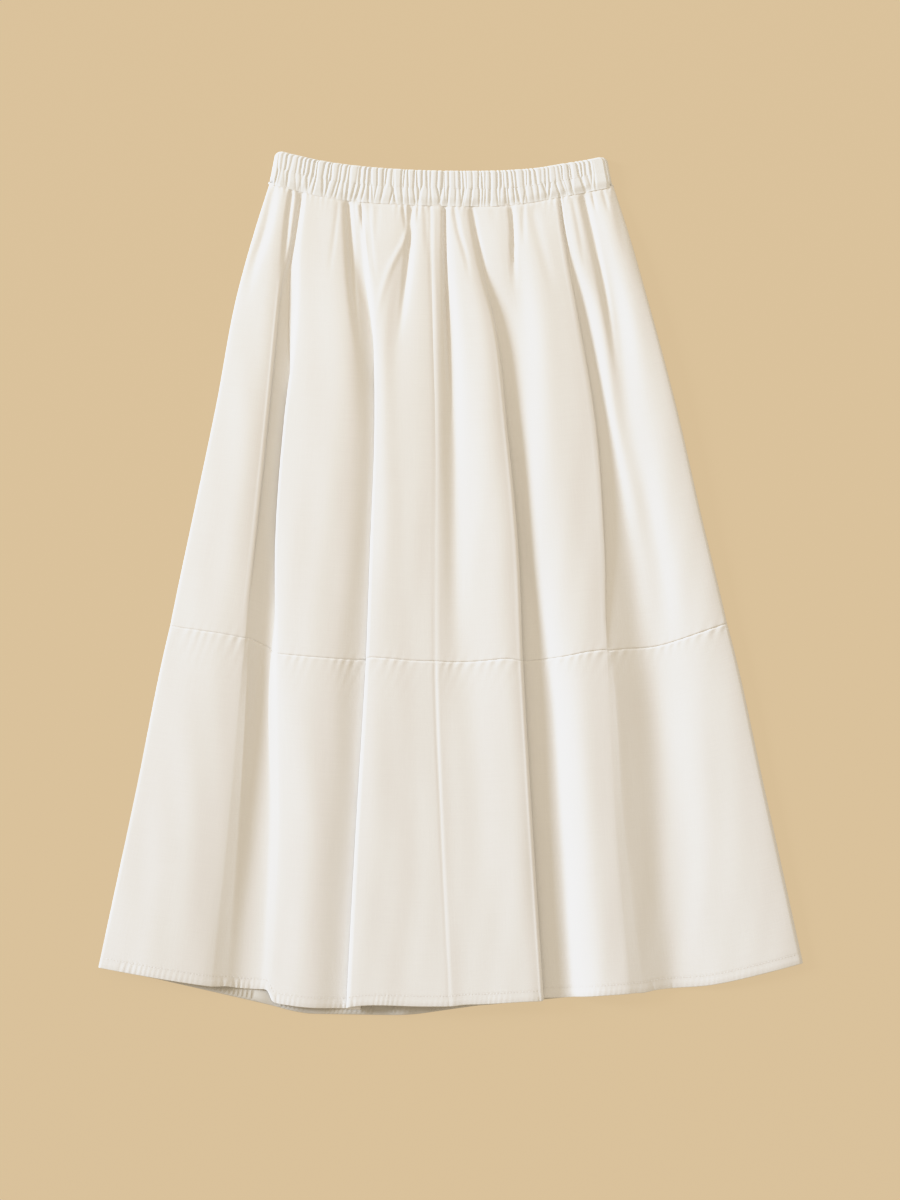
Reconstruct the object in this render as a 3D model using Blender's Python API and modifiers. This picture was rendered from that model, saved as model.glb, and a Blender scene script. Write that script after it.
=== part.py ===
"""Two-tier gathered midi skirt laid flat on its back, the front panels over the back panels.

Frame: X across the skirt, Y up its length with the waist at +Y, Z up from the surface it lies on, and the
origin in the middle of the space it covers. The tables hold millimetres; the meshes are in metres.

The front cloth is one sheet that runs across the skirt from side seam to side seam. At each height it is a
smooth curve through named lines, which are its crests, hollows, seams and laps. A lap is a fold that lies over
its neighbour: the cloth turns twice and makes three layers. A height down the skirt is a stop, which is 0 at
the waist seam, 1 at the seam between the tiers, and 2 at the hem.
"""

import math
from collections import namedtuple

import bmesh
import bpy
import numpy as np

COLLECTION = "gathered_midi_skirt"

MM = 0.001
HALF_LENGTH = 414.75  # from the top of the waistband at its ends to the middle of the skirt
WALL = 1.2  # cloth with its seam allowances
GAP = 0.3  # between sewn pieces
TURN = 3.0  # how far the cloth runs straight beside a lap's turn
SOFT_TUCK = 8.0  # a lap with a shorter tuck is not pressed flat
LAP_STEPS = 7  # from a lap's lower layer to its upper one
BACK_RISE = 0.6  # the middle of the back cloth's wall, where it lies flat

# Stops down the skirt at which the lines' places are given, and the fewer at which heights are given.
STOPS = (0.0, 0.1, 0.25, 0.5, 0.75, 1.0, 1.5, 2.0)
RISE_STOPS = (0.0, 0.1, 0.25, 0.5, 1.0, 2.0)

# A line runs down the skirt. across is its distance from the centre at STOPS, rise its height at RISE_STOPS,
# and seam and hem are how far below the waistband's top it meets the tier seam and the hem.
Line = namedtuple("Line", "name across rise seam hem")

# A lap is a fold edge. opens is the side that its edge faces, tuck is how far its hidden turn lies behind the
# edge (it is a slope where that is negative), under and over are the heights of its lower and upper layers,
# and lifts are how much higher the lower layer meets the tier seam and the hem.
Lap = namedtuple("Lap", "name opens across tuck under over seam hem lifts")

FRONT = (
    Line("side_left", (-176, -187, -205, -225, -247, -269, -303, -338), (3, 3.5, 4, 4.4, 4.4, 4.4), 455, 783),
    Line("a_rise", (-171, -181, -198, -217, -239, -261, -294, -328), (5, 5.6, 5.4, 5.6, 6.2, 6.6), 457, 785),
    Line("a_crest", (-163, -169, -177, -190, -205, -220, -242, -264), (6, 9, 10.8, 11, 12, 12.4), 462, 796),
    Lap("a_edge", "right", (-152, -159, -167, -177, -189, -201, -214, -229), (-3, 0, 4, 5, 5, -2, -20, -26),
        (4.8, 2.6, 2.1, 2.1, 2.6, 2.6), (5.6, 7.5, 9, 9.4, 10.2, 10.6), 467, 801, (0, 0)),
    Line("ab_floor", (-146.5, -155, -159, -166, -174, -187, -186, -194), (4.6, 2.8, 2.1, 2.1, 2.1, 2.1), 472, 803),
    Line("b_foot", (-143.5, -152, -155, -160, -163, -173, -175, -184), (4.8, 3, 2.4, 2.1, 2.6, 3.2), 477, 804),
    Lap("b_edge", "left", (-137, -144, -147, -161, -169, -170, -169, -177), (-4, -6, -6, 8, 14, 12, 12, 16),
        (4.8, 3.4, 2.8, 2.1, 5.8, 8.8), (5.8, 9, 9, 8.8, 9.8, 12.4), 482, 817, (2, 13)),
    Line("b_crest", (-124, -127, -122, -124, -134, -142, -146, -153), (6, 10.5, 11.5, 12, 12.5, 14), 485, 821),
    Line("b_shoulder", (-108, -111, -102, -102, -105, -118, -126, -141), (5.6, 10, 11, 12, 12.2, 13.2), 487, 822),
    Line("b_hollow", (-96, -95, -86, -80, -84, -98, -105, -124), (4.4, 2.6, 2.4, 5.4, 6.5, 7), 488, 822),
    Lap("c_edge", "left", (-85, -81, -76, -74, -78, -82, -92, -101), (-4, -3, 2, 10, 16, 18, 18, 18),
        (4.6, 4, 3, 4, 6, 7), (5.8, 9.5, 11, 11, 11.5, 12.5), 485, 821, (-4, -2)),
    Line("c_crest", (-60, -59, -60, -62, -62, -62, -68, -72), (6, 11, 12.5, 13.5, 14, 14), 486, 818),
    Line("c_hollow", (-32, -38, -45, -48, -46, -43, -39, -37), (4, 4, 7, 11.8, 12.5, 13), 488, 820),
    Line("c_ridge", (-26, -29, -33, -32, -32, -31, -26, -22), (6, 11, 12, 12.2, 12.2, 13.5), 489, 820),
    Line("centre_seam", (-18, -18, -16, -14, -15, -15, -9, -1), (5, 9, 11, 11.5, 11.6, 14.5), 489, 820),
    Line("seam_side", (-10, -10, -8, -6, -6, -6, 0, 6), (5, 8, 9, 9, 10.4, 14), 490, 819),
    Line("valley", (-4, -3, -1, 2, 4, 5, 9, 14), (4, 2.4, 2.4, 5, 9.4, 13.6), 490, 818),
    Line("d_crest", (5, 4, 6, 15, 20, 24, 34, 46), (6, 10, 11.5, 11.6, 13, 14.5), 490, 817),
    Line("d_shoulder", (14, 16, 30, 44, 52, 56, 65, 76), (5.6, 10.5, 13.4, 14.2, 15, 15.4), 486, 815),
    Lap("d_edge", "right", (21, 26, 38, 52, 62, 67, 76, 87), (-4, -5, -1, 6, 14, 18, 20, 20),
        (4.6, 3, 2.1, 2.1, 2.1, 2.1), (5.6, 9, 10.4, 10.8, 11.8, 13.2), 489, 815, (0, 3)),
    Line("de_floor", (30, 33, 46, 64, 73, 84, 103, 113), (4.6, 4, 2.4, 2.1, 2.1, 2.1), 489, 812),
    Line("e_rise", (50, 49, 53, 74, 82, 97, 114, 123), (6, 9, 6, 3.6, 4, 4.5), 487, 811),
    Line("e_hollow", (61, 59, 64, 84, 91, 107, 124, 133), (4, 5, 7.5, 7, 8.2, 9), 486, 811),
    Line("e_crest", (76, 74, 82, 98, 105, 119, 134, 144), (6, 10.5, 10.5, 10.5, 11.5, 12.5), 484, 810),
    Line("e_shoulder", (91, 94, 104, 121, 130, 135, 147, 160), (5.6, 9.5, 10, 10, 10.6, 12), 480, 809),
    Lap("e_edge", "right", (103, 108, 118, 136, 144, 147, 155, 170), (-3, 1, 6, 12, 8, -14, -28, -34),
        (4.8, 3, 2.1, 2.1, 3, 2.4), (5.6, 8.5, 9, 9, 9.6, 11), 478, 808, (-1, 1)),
    Line("ef_fall", (108, 112, 122, 142, 156, 172, 194, 213), (4.6, 3, 2.1, 2.1, 2.1, 2.1), 477, 804),
    Line("ef_floor", (113, 118, 129, 152, 170, 190, 206, 221), (4.8, 5, 4, 3, 2.4, 2.4), 477, 803),
    Line("f_ridge", (121, 125, 138, 162, 183, 201, 217, 231), (6, 9, 9.5, 8, 4, 4.4), 475, 802),
    Line("f_hollow", (129, 140, 154, 174, 196, 214, 229, 244), (4, 4, 4, 5.6, 6.6, 7.4), 471, 801),
    Line("f_crest", (136, 149, 164, 194, 216, 236, 258, 284), (6, 9.5, 10.5, 11, 10.5, 11), 466, 797),
    Line("f_shoulder", (149, 162, 179, 207, 229, 252, 286, 321), (5.4, 7.5, 8, 8, 8.4, 8.4), 457, 784),
    Line("side_right", (156, 170, 188, 216, 240, 265, 302, 338), (3, 4, 5, 5.4, 5.4, 5.4), 453, 779),
)
CENTRE_SEAM = "centre_seam"

# A soft ridge down the back panel, under a crest of the front: its place across at STOPS, how far it reaches
# to each side, and its height at RISE_STOPS over the flat cloth.
Ridge = namedtuple("Ridge", "across reach rise")
BACK_RIDGES = (
    Ridge((-153, -165, -184, -204, -224, -242, -266, -290), 8, (0.6, 1.5, 2, 2.5, 2, 1.5)),
    Ridge((-117, -122, -120, -118, -126, -132, -140, -152), 15, (0.8, 3, 3.5, 3.5, 3, 2)),
    Ridge((-52, -50, -52, -38, -34, -34, -38, -46), 12, (0.8, 3, 3.5, 4, 4, 3)),
    Ridge((4, 6, 16, 24, 24, 24, 30, 38), 9, (0.8, 3, 3.5, 4, 4, 3)),
    Ridge((80, 80, 86, 98, 108, 118, 128, 140), 9, (0.8, 2.5, 3, 3, 3, 2)),
    Ridge((134, 148, 165, 188, 208, 228, 252, 280), 8, (0.6, 2, 2.5, 3, 3, 2)),
)
RIDGE_FOOT = 4.0  # how wide the foot is on each side of a ridge
RIDGE_POINTS = 5
SIDE_FOOT = 9.0  # how far in from the side seams the back cloth starts to rise to meet the front

# Short creases that the elastic pulls into the front just below the waistband: the places across the skirt of
# each one's start and end, and its length down the skirt, half width and depth.
Crease = namedtuple("Crease", "start end length width depth")
CREASES = (
    Crease(-166, -196, 95, 5, 1.4),
    Crease(-150, -158, 60, 4, 1.8),
    Crease(-115, -119, 26, 5, 1.0),
    Crease(-102, -98, 26, 4, 1.4),
    Crease(-90, -92, 24, 3, 1.6),
    Crease(-46, -45, 24, 4, 1.8),
    Crease(12, 13, 60, 5, 1.0),
    Crease(33, 34, 20, 4, 1.0),
    Crease(69, 70, 40, 5, 1.3),
    Crease(81, 100, 80, 8, 1.2),
    Crease(118, 122, 26, 4, 1.3),
    Crease(134, 139, 28, 4, 1.4),
    Crease(144, 154, 40, 5, 1.2),
)

# The waistband's top and bottom edges: how far each lies below the top of the band's ends.
Edge = namedtuple("Edge", "across drop")
BAND_TOP = (Edge(-168, 2.5), Edge(-160, 1), Edge(-125, 7.7), Edge(-87, 13.4), Edge(-48, 17.3), Edge(5, 19),
            Edge(67, 17.3), Edge(105, 12.5), Edge(144, 4.8), Edge(150, 7))
BAND_BOTTOM = (Edge(-176, 32.5), Edge(-168, 33.6), Edge(-109, 46.5), Edge(-49, 51.5), Edge(-6, 53),
               Edge(61, 51.8), Edge(108, 44), Edge(156, 34.5))

# Where the back panel's lower edges lie. Its hem dips below the front's, left of the middle.
BACK_TIER_SEAM = (Edge(-269, 455), Edge(-200, 468), Edge(-100, 486), Edge(0, 489), Edge(100, 486), Edge(200, 468),
                  Edge(265, 453))
BACK_HEM = (Edge(-338, 783), Edge(-274, 796), Edge(-235, 806), Edge(-180, 817), Edge(-147, 826), Edge(-98, 828),
            Edge(-20, 826.5), Edge(5, 822), Edge(46, 818), Edge(105, 813), Edge(171, 804), Edge(240, 796),
            Edge(338, 779))

# A band's base is the height of its plain side, its body is the casing with the elastic in it, and its gathers
# stand above that. rows are the shares of the band's depth at which its face is drawn.
Band = namedtuple("Band", "base body gather columns rows")
FRONT_BAND = Band(3.9, 2.3, 1.5, 3, (0.0, 0.12, 0.46, 0.54, 0.88, 1.0))
BACK_BAND = Band(0.0, 2.4, 1.1, 2, (0.0, 0.5, 1.0))
BAND_GATHERS = 57
GATHER_DRIFT = 0.3  # how unevenly the gathers are spaced, in gathers
GATHER_LEAN = 0.5  # how far a gather leans between the band's edges, in gathers
STITCH_PINCH = 0.55  # how much the middle stitching flattens the gathers
STITCH_REACH = 0.08  # half the width of that pinch, as a share of the band's depth
EDGE_ROLL = 0.55  # how much thinner the casing is at its rolled edges
EDGE_REACH = 0.1  # how far a rolled edge reaches, as a share of the band's depth

# Rows down each piece at which its wall is drawn, as stops.
UPPER_ROWS = (0.0, 0.03, 0.07, 0.12, 0.19, 0.27, 0.36, 0.46, 0.57, 0.68, 0.79, 0.9, 1.0)
LOWER_ROWS = (1.0, 1.15, 1.32, 1.5, 1.68, 1.85, 2.0)
BACK_UPPER_ROWS = (0.0, 0.05, 0.12, 0.25, 0.42, 0.6, 0.8, 1.0)
BACK_LOWER_ROWS = (1.0, 1.33, 1.67, 2.0)
LINE_STEPS = 3  # from one line to the next

Finish = namedtuple("Finish", "name colour roughness")
CLOTH = Finish("cotton_cloth", (0.86, 0.83, 0.77), 0.85)
CLOTH_BACK = Finish("cotton_cloth_back", (0.82, 0.79, 0.72), 0.88)
CASING = Finish("gathered_casing", (0.84, 0.81, 0.75), 0.85)


def smooth_step(share):
    share = min(max(share, 0.0), 1.0)
    return share * share * (3.0 - 2.0 * share)


def along(stops, values, stop):
    """The value at a stop, on a smooth curve through the values at the stops."""
    slopes = np.gradient(np.asarray(values, dtype=float), np.asarray(stops, dtype=float))
    last = len(stops) - 2
    index = min(max(int(np.searchsorted(stops, stop, side="right")) - 1, 0), last)
    span = stops[index + 1] - stops[index]
    share = (stop - stops[index]) / span
    square, cube = share ** 2, share ** 3
    return ((2 * cube - 3 * square + 1) * values[index]
            + (cube - 2 * square + share) * span * slopes[index]
            + (3 * square - 2 * cube) * values[index + 1]
            + (cube - square) * span * slopes[index + 1])


def edge_drop(edges, across):
    """How far down an edge of the waistband lies at a place across it."""
    places = [edge.across for edge in edges]
    drops = [edge.drop for edge in edges]
    return along(places, drops, min(max(across, places[0]), places[-1]))


def lap_points(lap, stop):
    """A lap's control points, from the cloth under it round its hidden turn and its edge to the cloth over it."""
    edge = along(STOPS, lap.across, stop)
    tuck = along(STOPS, lap.tuck, stop)
    under = along(RISE_STOPS, lap.under, stop)
    over = along(RISE_STOPS, lap.over, stop)
    middle = (under + over) / 2.0
    layers = (under, under, middle, middle, middle, middle, over, over)
    pressed = smooth_step(tuck / SOFT_TUCK)
    turn = min(TURN, tuck / 2.5)
    if tuck > 0.0:
        behind = (tuck - turn, tuck, tuck, tuck - turn, turn, 0.0, 0.0, turn)
    else:
        behind = [tuck * (1.0 - step / LAP_STEPS) for step in range(LAP_STEPS + 1)]
    side = 1.0 if lap.opens == "left" else -1.0
    points = []
    for step in range(LAP_STEPS + 1):
        share = step / LAP_STEPS
        ramp = under + (over - under) * share
        points.append((edge + side * behind[step],
                       ramp + (layers[step] - ramp) * pressed,
                       lap.seam - lap.lifts[0] * (1.0 - share),
                       lap.hem - lap.lifts[1] * (1.0 - share)))
    return points if lap.opens == "left" else points[::-1]


def front_points(stop):
    """The points that steer the front cloth at a stop: across, height, and how far down its seam and hem are."""
    points = []
    for row in FRONT:
        if isinstance(row, Lap):
            points += lap_points(row, stop)
        else:
            points.append((along(STOPS, row.across, stop), along(RISE_STOPS, row.rise, stop), row.seam, row.hem))
    return np.array(points)


def back_points(stop):
    """The points that steer the back cloth at a stop, flat but for its ridges and its sides."""
    sides = [along(STOPS, row.across, stop) for row in (FRONT[0], FRONT[-1])]
    side_rises = [along(RISE_STOPS, row.rise, stop) - WALL - GAP for row in (FRONT[0], FRONT[-1])]
    places = [(sides[0], side_rises[0]), (sides[0] + SIDE_FOOT, BACK_RISE)]
    for ridge in BACK_RIDGES:
        middle = along(STOPS, ridge.across, stop)
        top = BACK_RISE + along(RISE_STOPS, ridge.rise, stop)
        foot = ridge.reach + RIDGE_FOOT
        places += [(middle - foot, BACK_RISE), (middle - ridge.reach, BACK_RISE), (middle, top),
                   (middle + ridge.reach, BACK_RISE), (middle + foot, BACK_RISE)]
    places += [(sides[1] - SIDE_FOOT, BACK_RISE), (sides[1], side_rises[1])]
    at_seam, at_hem = [(FRONT[0].across[index], FRONT[-1].across[index]) for index in (5, 7)]
    points = []
    for across, rise in places:
        share = (across - sides[0]) / (sides[1] - sides[0])
        points.append((across, rise,
                       edge_drop(BACK_TIER_SEAM, at_seam[0] + (at_seam[1] - at_seam[0]) * share),
                       edge_drop(BACK_HEM, at_hem[0] + (at_hem[1] - at_hem[0]) * share)))
    return np.array(points)


def front_places():
    """Where the front wall's columns are: LINE_STEPS between lines, and at each of a lap's control points."""
    places = [0.0]
    for row in FRONT:
        if isinstance(row, Lap):
            places += [places[-1] + step for step in range(1, LAP_STEPS + 1)]
        if row is not FRONT[-1]:
            places += [places[-1] + step / LINE_STEPS for step in range(1, LINE_STEPS + 1)]
    return [round(place, 6) for place in places]


def back_places():
    """Where the back wall's columns are: at its control points, and midway along the flats between ridges."""
    last = RIDGE_POINTS * len(BACK_RIDGES) + 3
    flats = [RIDGE_POINTS * ridge + 1.5 for ridge in range(len(BACK_RIDGES) + 1)]
    return sorted([float(place) for place in range(last + 1)] + flats)


def centre_seam_place():
    before = FRONT[:[row.name for row in FRONT].index(CENTRE_SEAM)]
    return sum(LAP_STEPS + 1 if isinstance(row, Lap) else 1 for row in before)


def smooth_curve(points, places):
    """The cubic B-spline of the control points, from the first to the last of them, at places along it."""
    ends = np.vstack([2 * points[0] - points[1], points, 2 * points[-1] - points[-2]])
    curve = []
    for place in places:
        index = min(int(place), len(points) - 2)
        t = place - index
        weights = np.array([(1 - t) ** 3, 3 * t ** 3 - 6 * t ** 2 + 4, -3 * t ** 3 + 3 * t ** 2 + 3 * t + 1, t ** 3])
        curve.append(weights @ ends[index:index + 4] / 6.0)
    return np.array(curve)


def crease_depth(across, below_waist):
    """How deep the short creases are at a place, the deepest one counting where they meet."""
    depth = 0.0
    for crease in CREASES:
        share = below_waist / crease.length
        if share < 1.0:
            middle = crease.start + (crease.end - crease.start) * share
            reach = (across - middle) / crease.width
            depth = max(depth, crease.depth * math.exp(-reach * reach) * smooth_step(1.0 - share))
    return depth


def cloth_section(steer, stop, places, creased):
    """The sheet's points at a stop: across, how far down, and up."""
    waist = smooth_curve(steer(0.0), places)
    section = []
    for at_waist, (across, rise, seam, hem) in zip(waist, smooth_curve(steer(stop), places)):
        waist_drop = edge_drop(BAND_BOTTOM, at_waist[0]) + GAP
        if stop <= 1.0:
            down = waist_drop + (seam - waist_drop) * stop
        else:
            down = seam + (hem - seam) * (stop - 1.0)
        if creased:
            rise -= crease_depth(across, down - waist_drop)
        section.append([across, down, rise])
    return section


def to_world(point):
    across, down, up = point
    return (across * MM, (HALF_LENGTH - down) * MM, up * MM)


def make_object(name, mesh_data, finish):
    material = bpy.data.materials.get(finish.name) or bpy.data.materials.new(finish.name)
    material.use_nodes = True
    shader = material.node_tree.nodes["Principled BSDF"]
    shader.inputs["Base Color"].default_value = (*finish.colour, 1.0)
    shader.inputs["Roughness"].default_value = finish.roughness
    shader.inputs["Metallic"].default_value = 0.0
    mesh = bpy.data.meshes.new(name)
    mesh_data.to_mesh(mesh)
    mesh_data.free()
    mesh.shade_smooth()
    mesh.set_sharp_from_angle(angle=math.radians(50))
    mesh.materials.append(material)
    piece = bpy.data.objects.new(name, mesh)
    bpy.data.collections[COLLECTION].objects.link(piece)
    return piece


def shaped_grid(rows):
    """A grid whose rows run down the skirt and whose columns run across it, shaped to the given points."""
    across_count, down_count = len(rows[0]) - 1, len(rows) - 1
    grid = bmesh.new()
    bmesh.ops.create_grid(grid, x_segments=across_count, y_segments=down_count, size=0.5)
    for vert in grid.verts:
        column = round((vert.co.x + 0.5) * across_count)
        row = round((0.5 - vert.co.y) * down_count)
        vert.co = to_world(rows[row][column])
    return grid


def make_panel(name, steer, places, stops, finish, creased=False):
    """A panel of cloth as a wall about its sheet, trimmed at the tier seam and the centre-front seam."""
    rows = [cloth_section(steer, stop, places, creased) for stop in stops]
    for points, stop in zip(rows, stops):
        if stop == 1.0:
            for point in points:
                point[1] += GAP / 2.0 if stops[0] == 1.0 else -GAP / 2.0
        if steer is front_points and places[0] > 0.0:
            points[0][0] += GAP / 2.0
        if steer is front_points and places[0] == 0.0:
            points[-1][0] -= GAP / 2.0
    panel = make_object(name, shaped_grid(rows), finish)
    wall = panel.modifiers.new("wall", "SOLIDIFY")
    wall.thickness = WALL * MM
    wall.offset = 0.0
    return panel


def gather_place(count):
    """Where a gather's own point lies along the band, in gathers, unevenly spaced."""
    return count + GATHER_DRIFT * math.sin(2.1 * count) * math.sin(0.37 * count + 1.0)


def band_point(band, column, share):
    """A point of a band's gathered face, by its column and its share of the band's depth."""
    gather = column / band.columns
    lean = GATHER_LEAN * math.sin(1.7 * gather) * (0.5 - share)
    inside = smooth_step(min(gather, BAND_GATHERS - gather))
    along_band = min(max((gather_place(gather) + lean - gather) * inside + gather, 0.0), BAND_GATHERS)
    along_band /= BAND_GATHERS
    left = BAND_TOP[0].across + (BAND_BOTTOM[0].across - BAND_TOP[0].across) * share
    right = BAND_TOP[-1].across + (BAND_BOTTOM[-1].across - BAND_TOP[-1].across) * share
    across = left + (right - left) * along_band
    top, bottom = edge_drop(BAND_TOP, across), edge_drop(BAND_BOTTOM, across)
    pinch = 1.0 - STITCH_PINCH * math.exp(-((share - 0.5) / STITCH_REACH) ** 2)
    from_edge = min(share, 1.0 - share) / EDGE_REACH
    roll = 1.0 - EDGE_ROLL * (1.0 - smooth_step(from_edge))
    wave = (1.0 - math.cos(2.0 * math.pi * gather)) / 2.0
    rise = band.base + (band.body + band.gather * wave * pinch) * roll
    return across, top + (bottom - top) * share, rise


def make_band(name, band):
    """Half of the elastic casing: gathers raised in its face, over a plain flat side."""
    columns = range(BAND_GATHERS * band.columns + 1)
    rows = [[band_point(band, column, share) for column in columns] for share in band.rows]
    body = shaped_grid(rows)
    plain = body.faces[:]
    bmesh.ops.extrude_face_region(body, geom=plain, use_keep_orig=True)
    for vert in {vert for face in plain for vert in face.verts}:
        vert.co.z = band.base * MM
    bmesh.ops.recalc_face_normals(body, faces=body.faces)
    inner_edges = [edge for edge in body.edges if all(face in plain for face in edge.link_faces)]
    bmesh.ops.dissolve_edges(body, edges=inner_edges, use_verts=True)
    return make_object(name, body, CASING)


def main():
    for old in list(bpy.data.objects):
        bpy.data.objects.remove(old, do_unlink=True)
    collection = bpy.data.collections.get(COLLECTION) or bpy.data.collections.new(COLLECTION)
    if COLLECTION not in bpy.context.scene.collection.children:
        bpy.context.scene.collection.children.link(collection)

    seam = centre_seam_place()
    left = [place for place in front_places() if place <= seam]
    right = [place for place in front_places() if place >= seam]
    for tier, stops in (("upper", UPPER_ROWS), ("lower", LOWER_ROWS)):
        make_panel(f"front_{tier}_left", front_points, left, stops, CLOTH, creased=True)
        make_panel(f"front_{tier}_right", front_points, right, stops, CLOTH, creased=True)
    make_panel("back_upper", back_points, back_places(), BACK_UPPER_ROWS, CLOTH_BACK)
    make_panel("back_lower", back_points, back_places(), BACK_LOWER_ROWS, CLOTH_BACK)
    make_band("waistband_front", FRONT_BAND)
    make_band("waistband_back", BACK_BAND)


main()
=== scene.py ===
"""The looks of a two-tier gathered midi skirt laid flat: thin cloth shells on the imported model's form.

Frame: X across the skirt, Y up its length with the waist at +Y, Z up from the surface it lies on. The tables
hold millimetres; the meshes are in metres. The front cloth is one sheet from side seam to side seam. At each
height it is a smooth curve through named lines, which are its crests, hollows, seams and laps. A height down
the skirt is a stop, which is 0 at the waist seam, 1 at the seam between the tiers, and 2 at the hem.
"""

import math
from collections import namedtuple

import bpy
import numpy as np
from bpy.props import FloatProperty, FloatVectorProperty, IntProperty, PointerProperty
from bpy.types import Operator, Panel, PropertyGroup
from mathutils import Matrix, Vector


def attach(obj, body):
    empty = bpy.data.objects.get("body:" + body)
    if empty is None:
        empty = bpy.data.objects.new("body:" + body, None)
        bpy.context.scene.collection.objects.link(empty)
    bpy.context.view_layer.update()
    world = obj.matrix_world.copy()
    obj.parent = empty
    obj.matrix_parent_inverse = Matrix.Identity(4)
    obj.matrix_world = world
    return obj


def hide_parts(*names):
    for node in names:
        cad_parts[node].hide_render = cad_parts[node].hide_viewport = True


bl_info = {
    "name": "Gathered Midi Skirt",
    "version": (1, 0, 0),
    "blender": (4, 5, 0),
    "location": "3D View > Sidebar > Skirt",
    "description": "Builds the cloth, the sewing and the stage of a gathered midi skirt laid flat",
    "category": "Add Mesh",
}

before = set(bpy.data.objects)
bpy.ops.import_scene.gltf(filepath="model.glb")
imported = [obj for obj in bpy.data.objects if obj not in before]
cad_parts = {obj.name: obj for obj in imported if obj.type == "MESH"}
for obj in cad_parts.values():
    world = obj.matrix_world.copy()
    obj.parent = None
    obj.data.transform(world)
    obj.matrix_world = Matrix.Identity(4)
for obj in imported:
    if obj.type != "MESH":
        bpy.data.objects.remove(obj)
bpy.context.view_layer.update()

MM = 0.001
HALF_LENGTH = 414.75  # from the top of the waistband at its ends to the middle of the skirt
TURN = 2.0  # how far the cloth runs straight beside a lap's turn
EDGE_TURN = 0.9  # how far it runs straight beside the edge that shows
SOFT_TUCK = 8.0  # a lap with a shorter tuck is not pressed flat
LAP_STEPS = 7  # from a lap's lower layer to its upper one
CRISPNESS = 0.8  # how nearly the cloth passes through its lines, 0 for a loose curve and 1 for a close one

# Stops down the skirt at which the lines' places are given, and the fewer at which heights are given.
STOPS = (0.0, 0.1, 0.25, 0.5, 0.75, 1.0, 1.5, 2.0)
RISE_STOPS = (0.0, 0.1, 0.25, 0.5, 1.0, 2.0)

# A line runs down the skirt. across is its distance from the centre at STOPS, rise its height at RISE_STOPS,
# and seam and hem are how far below the waistband's top it meets the tier seam and the hem.
Line = namedtuple("Line", "name across rise seam hem")

# A lap is a fold edge. opens is the side that its edge faces, tuck is how far its hidden turn lies behind the
# edge (it is a slope where that is negative), under and over are the heights of its lower and upper layers,
# and lifts are how much higher the lower layer meets the tier seam and the hem.
Lap = namedtuple("Lap", "name opens across tuck under over seam hem lifts")

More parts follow.
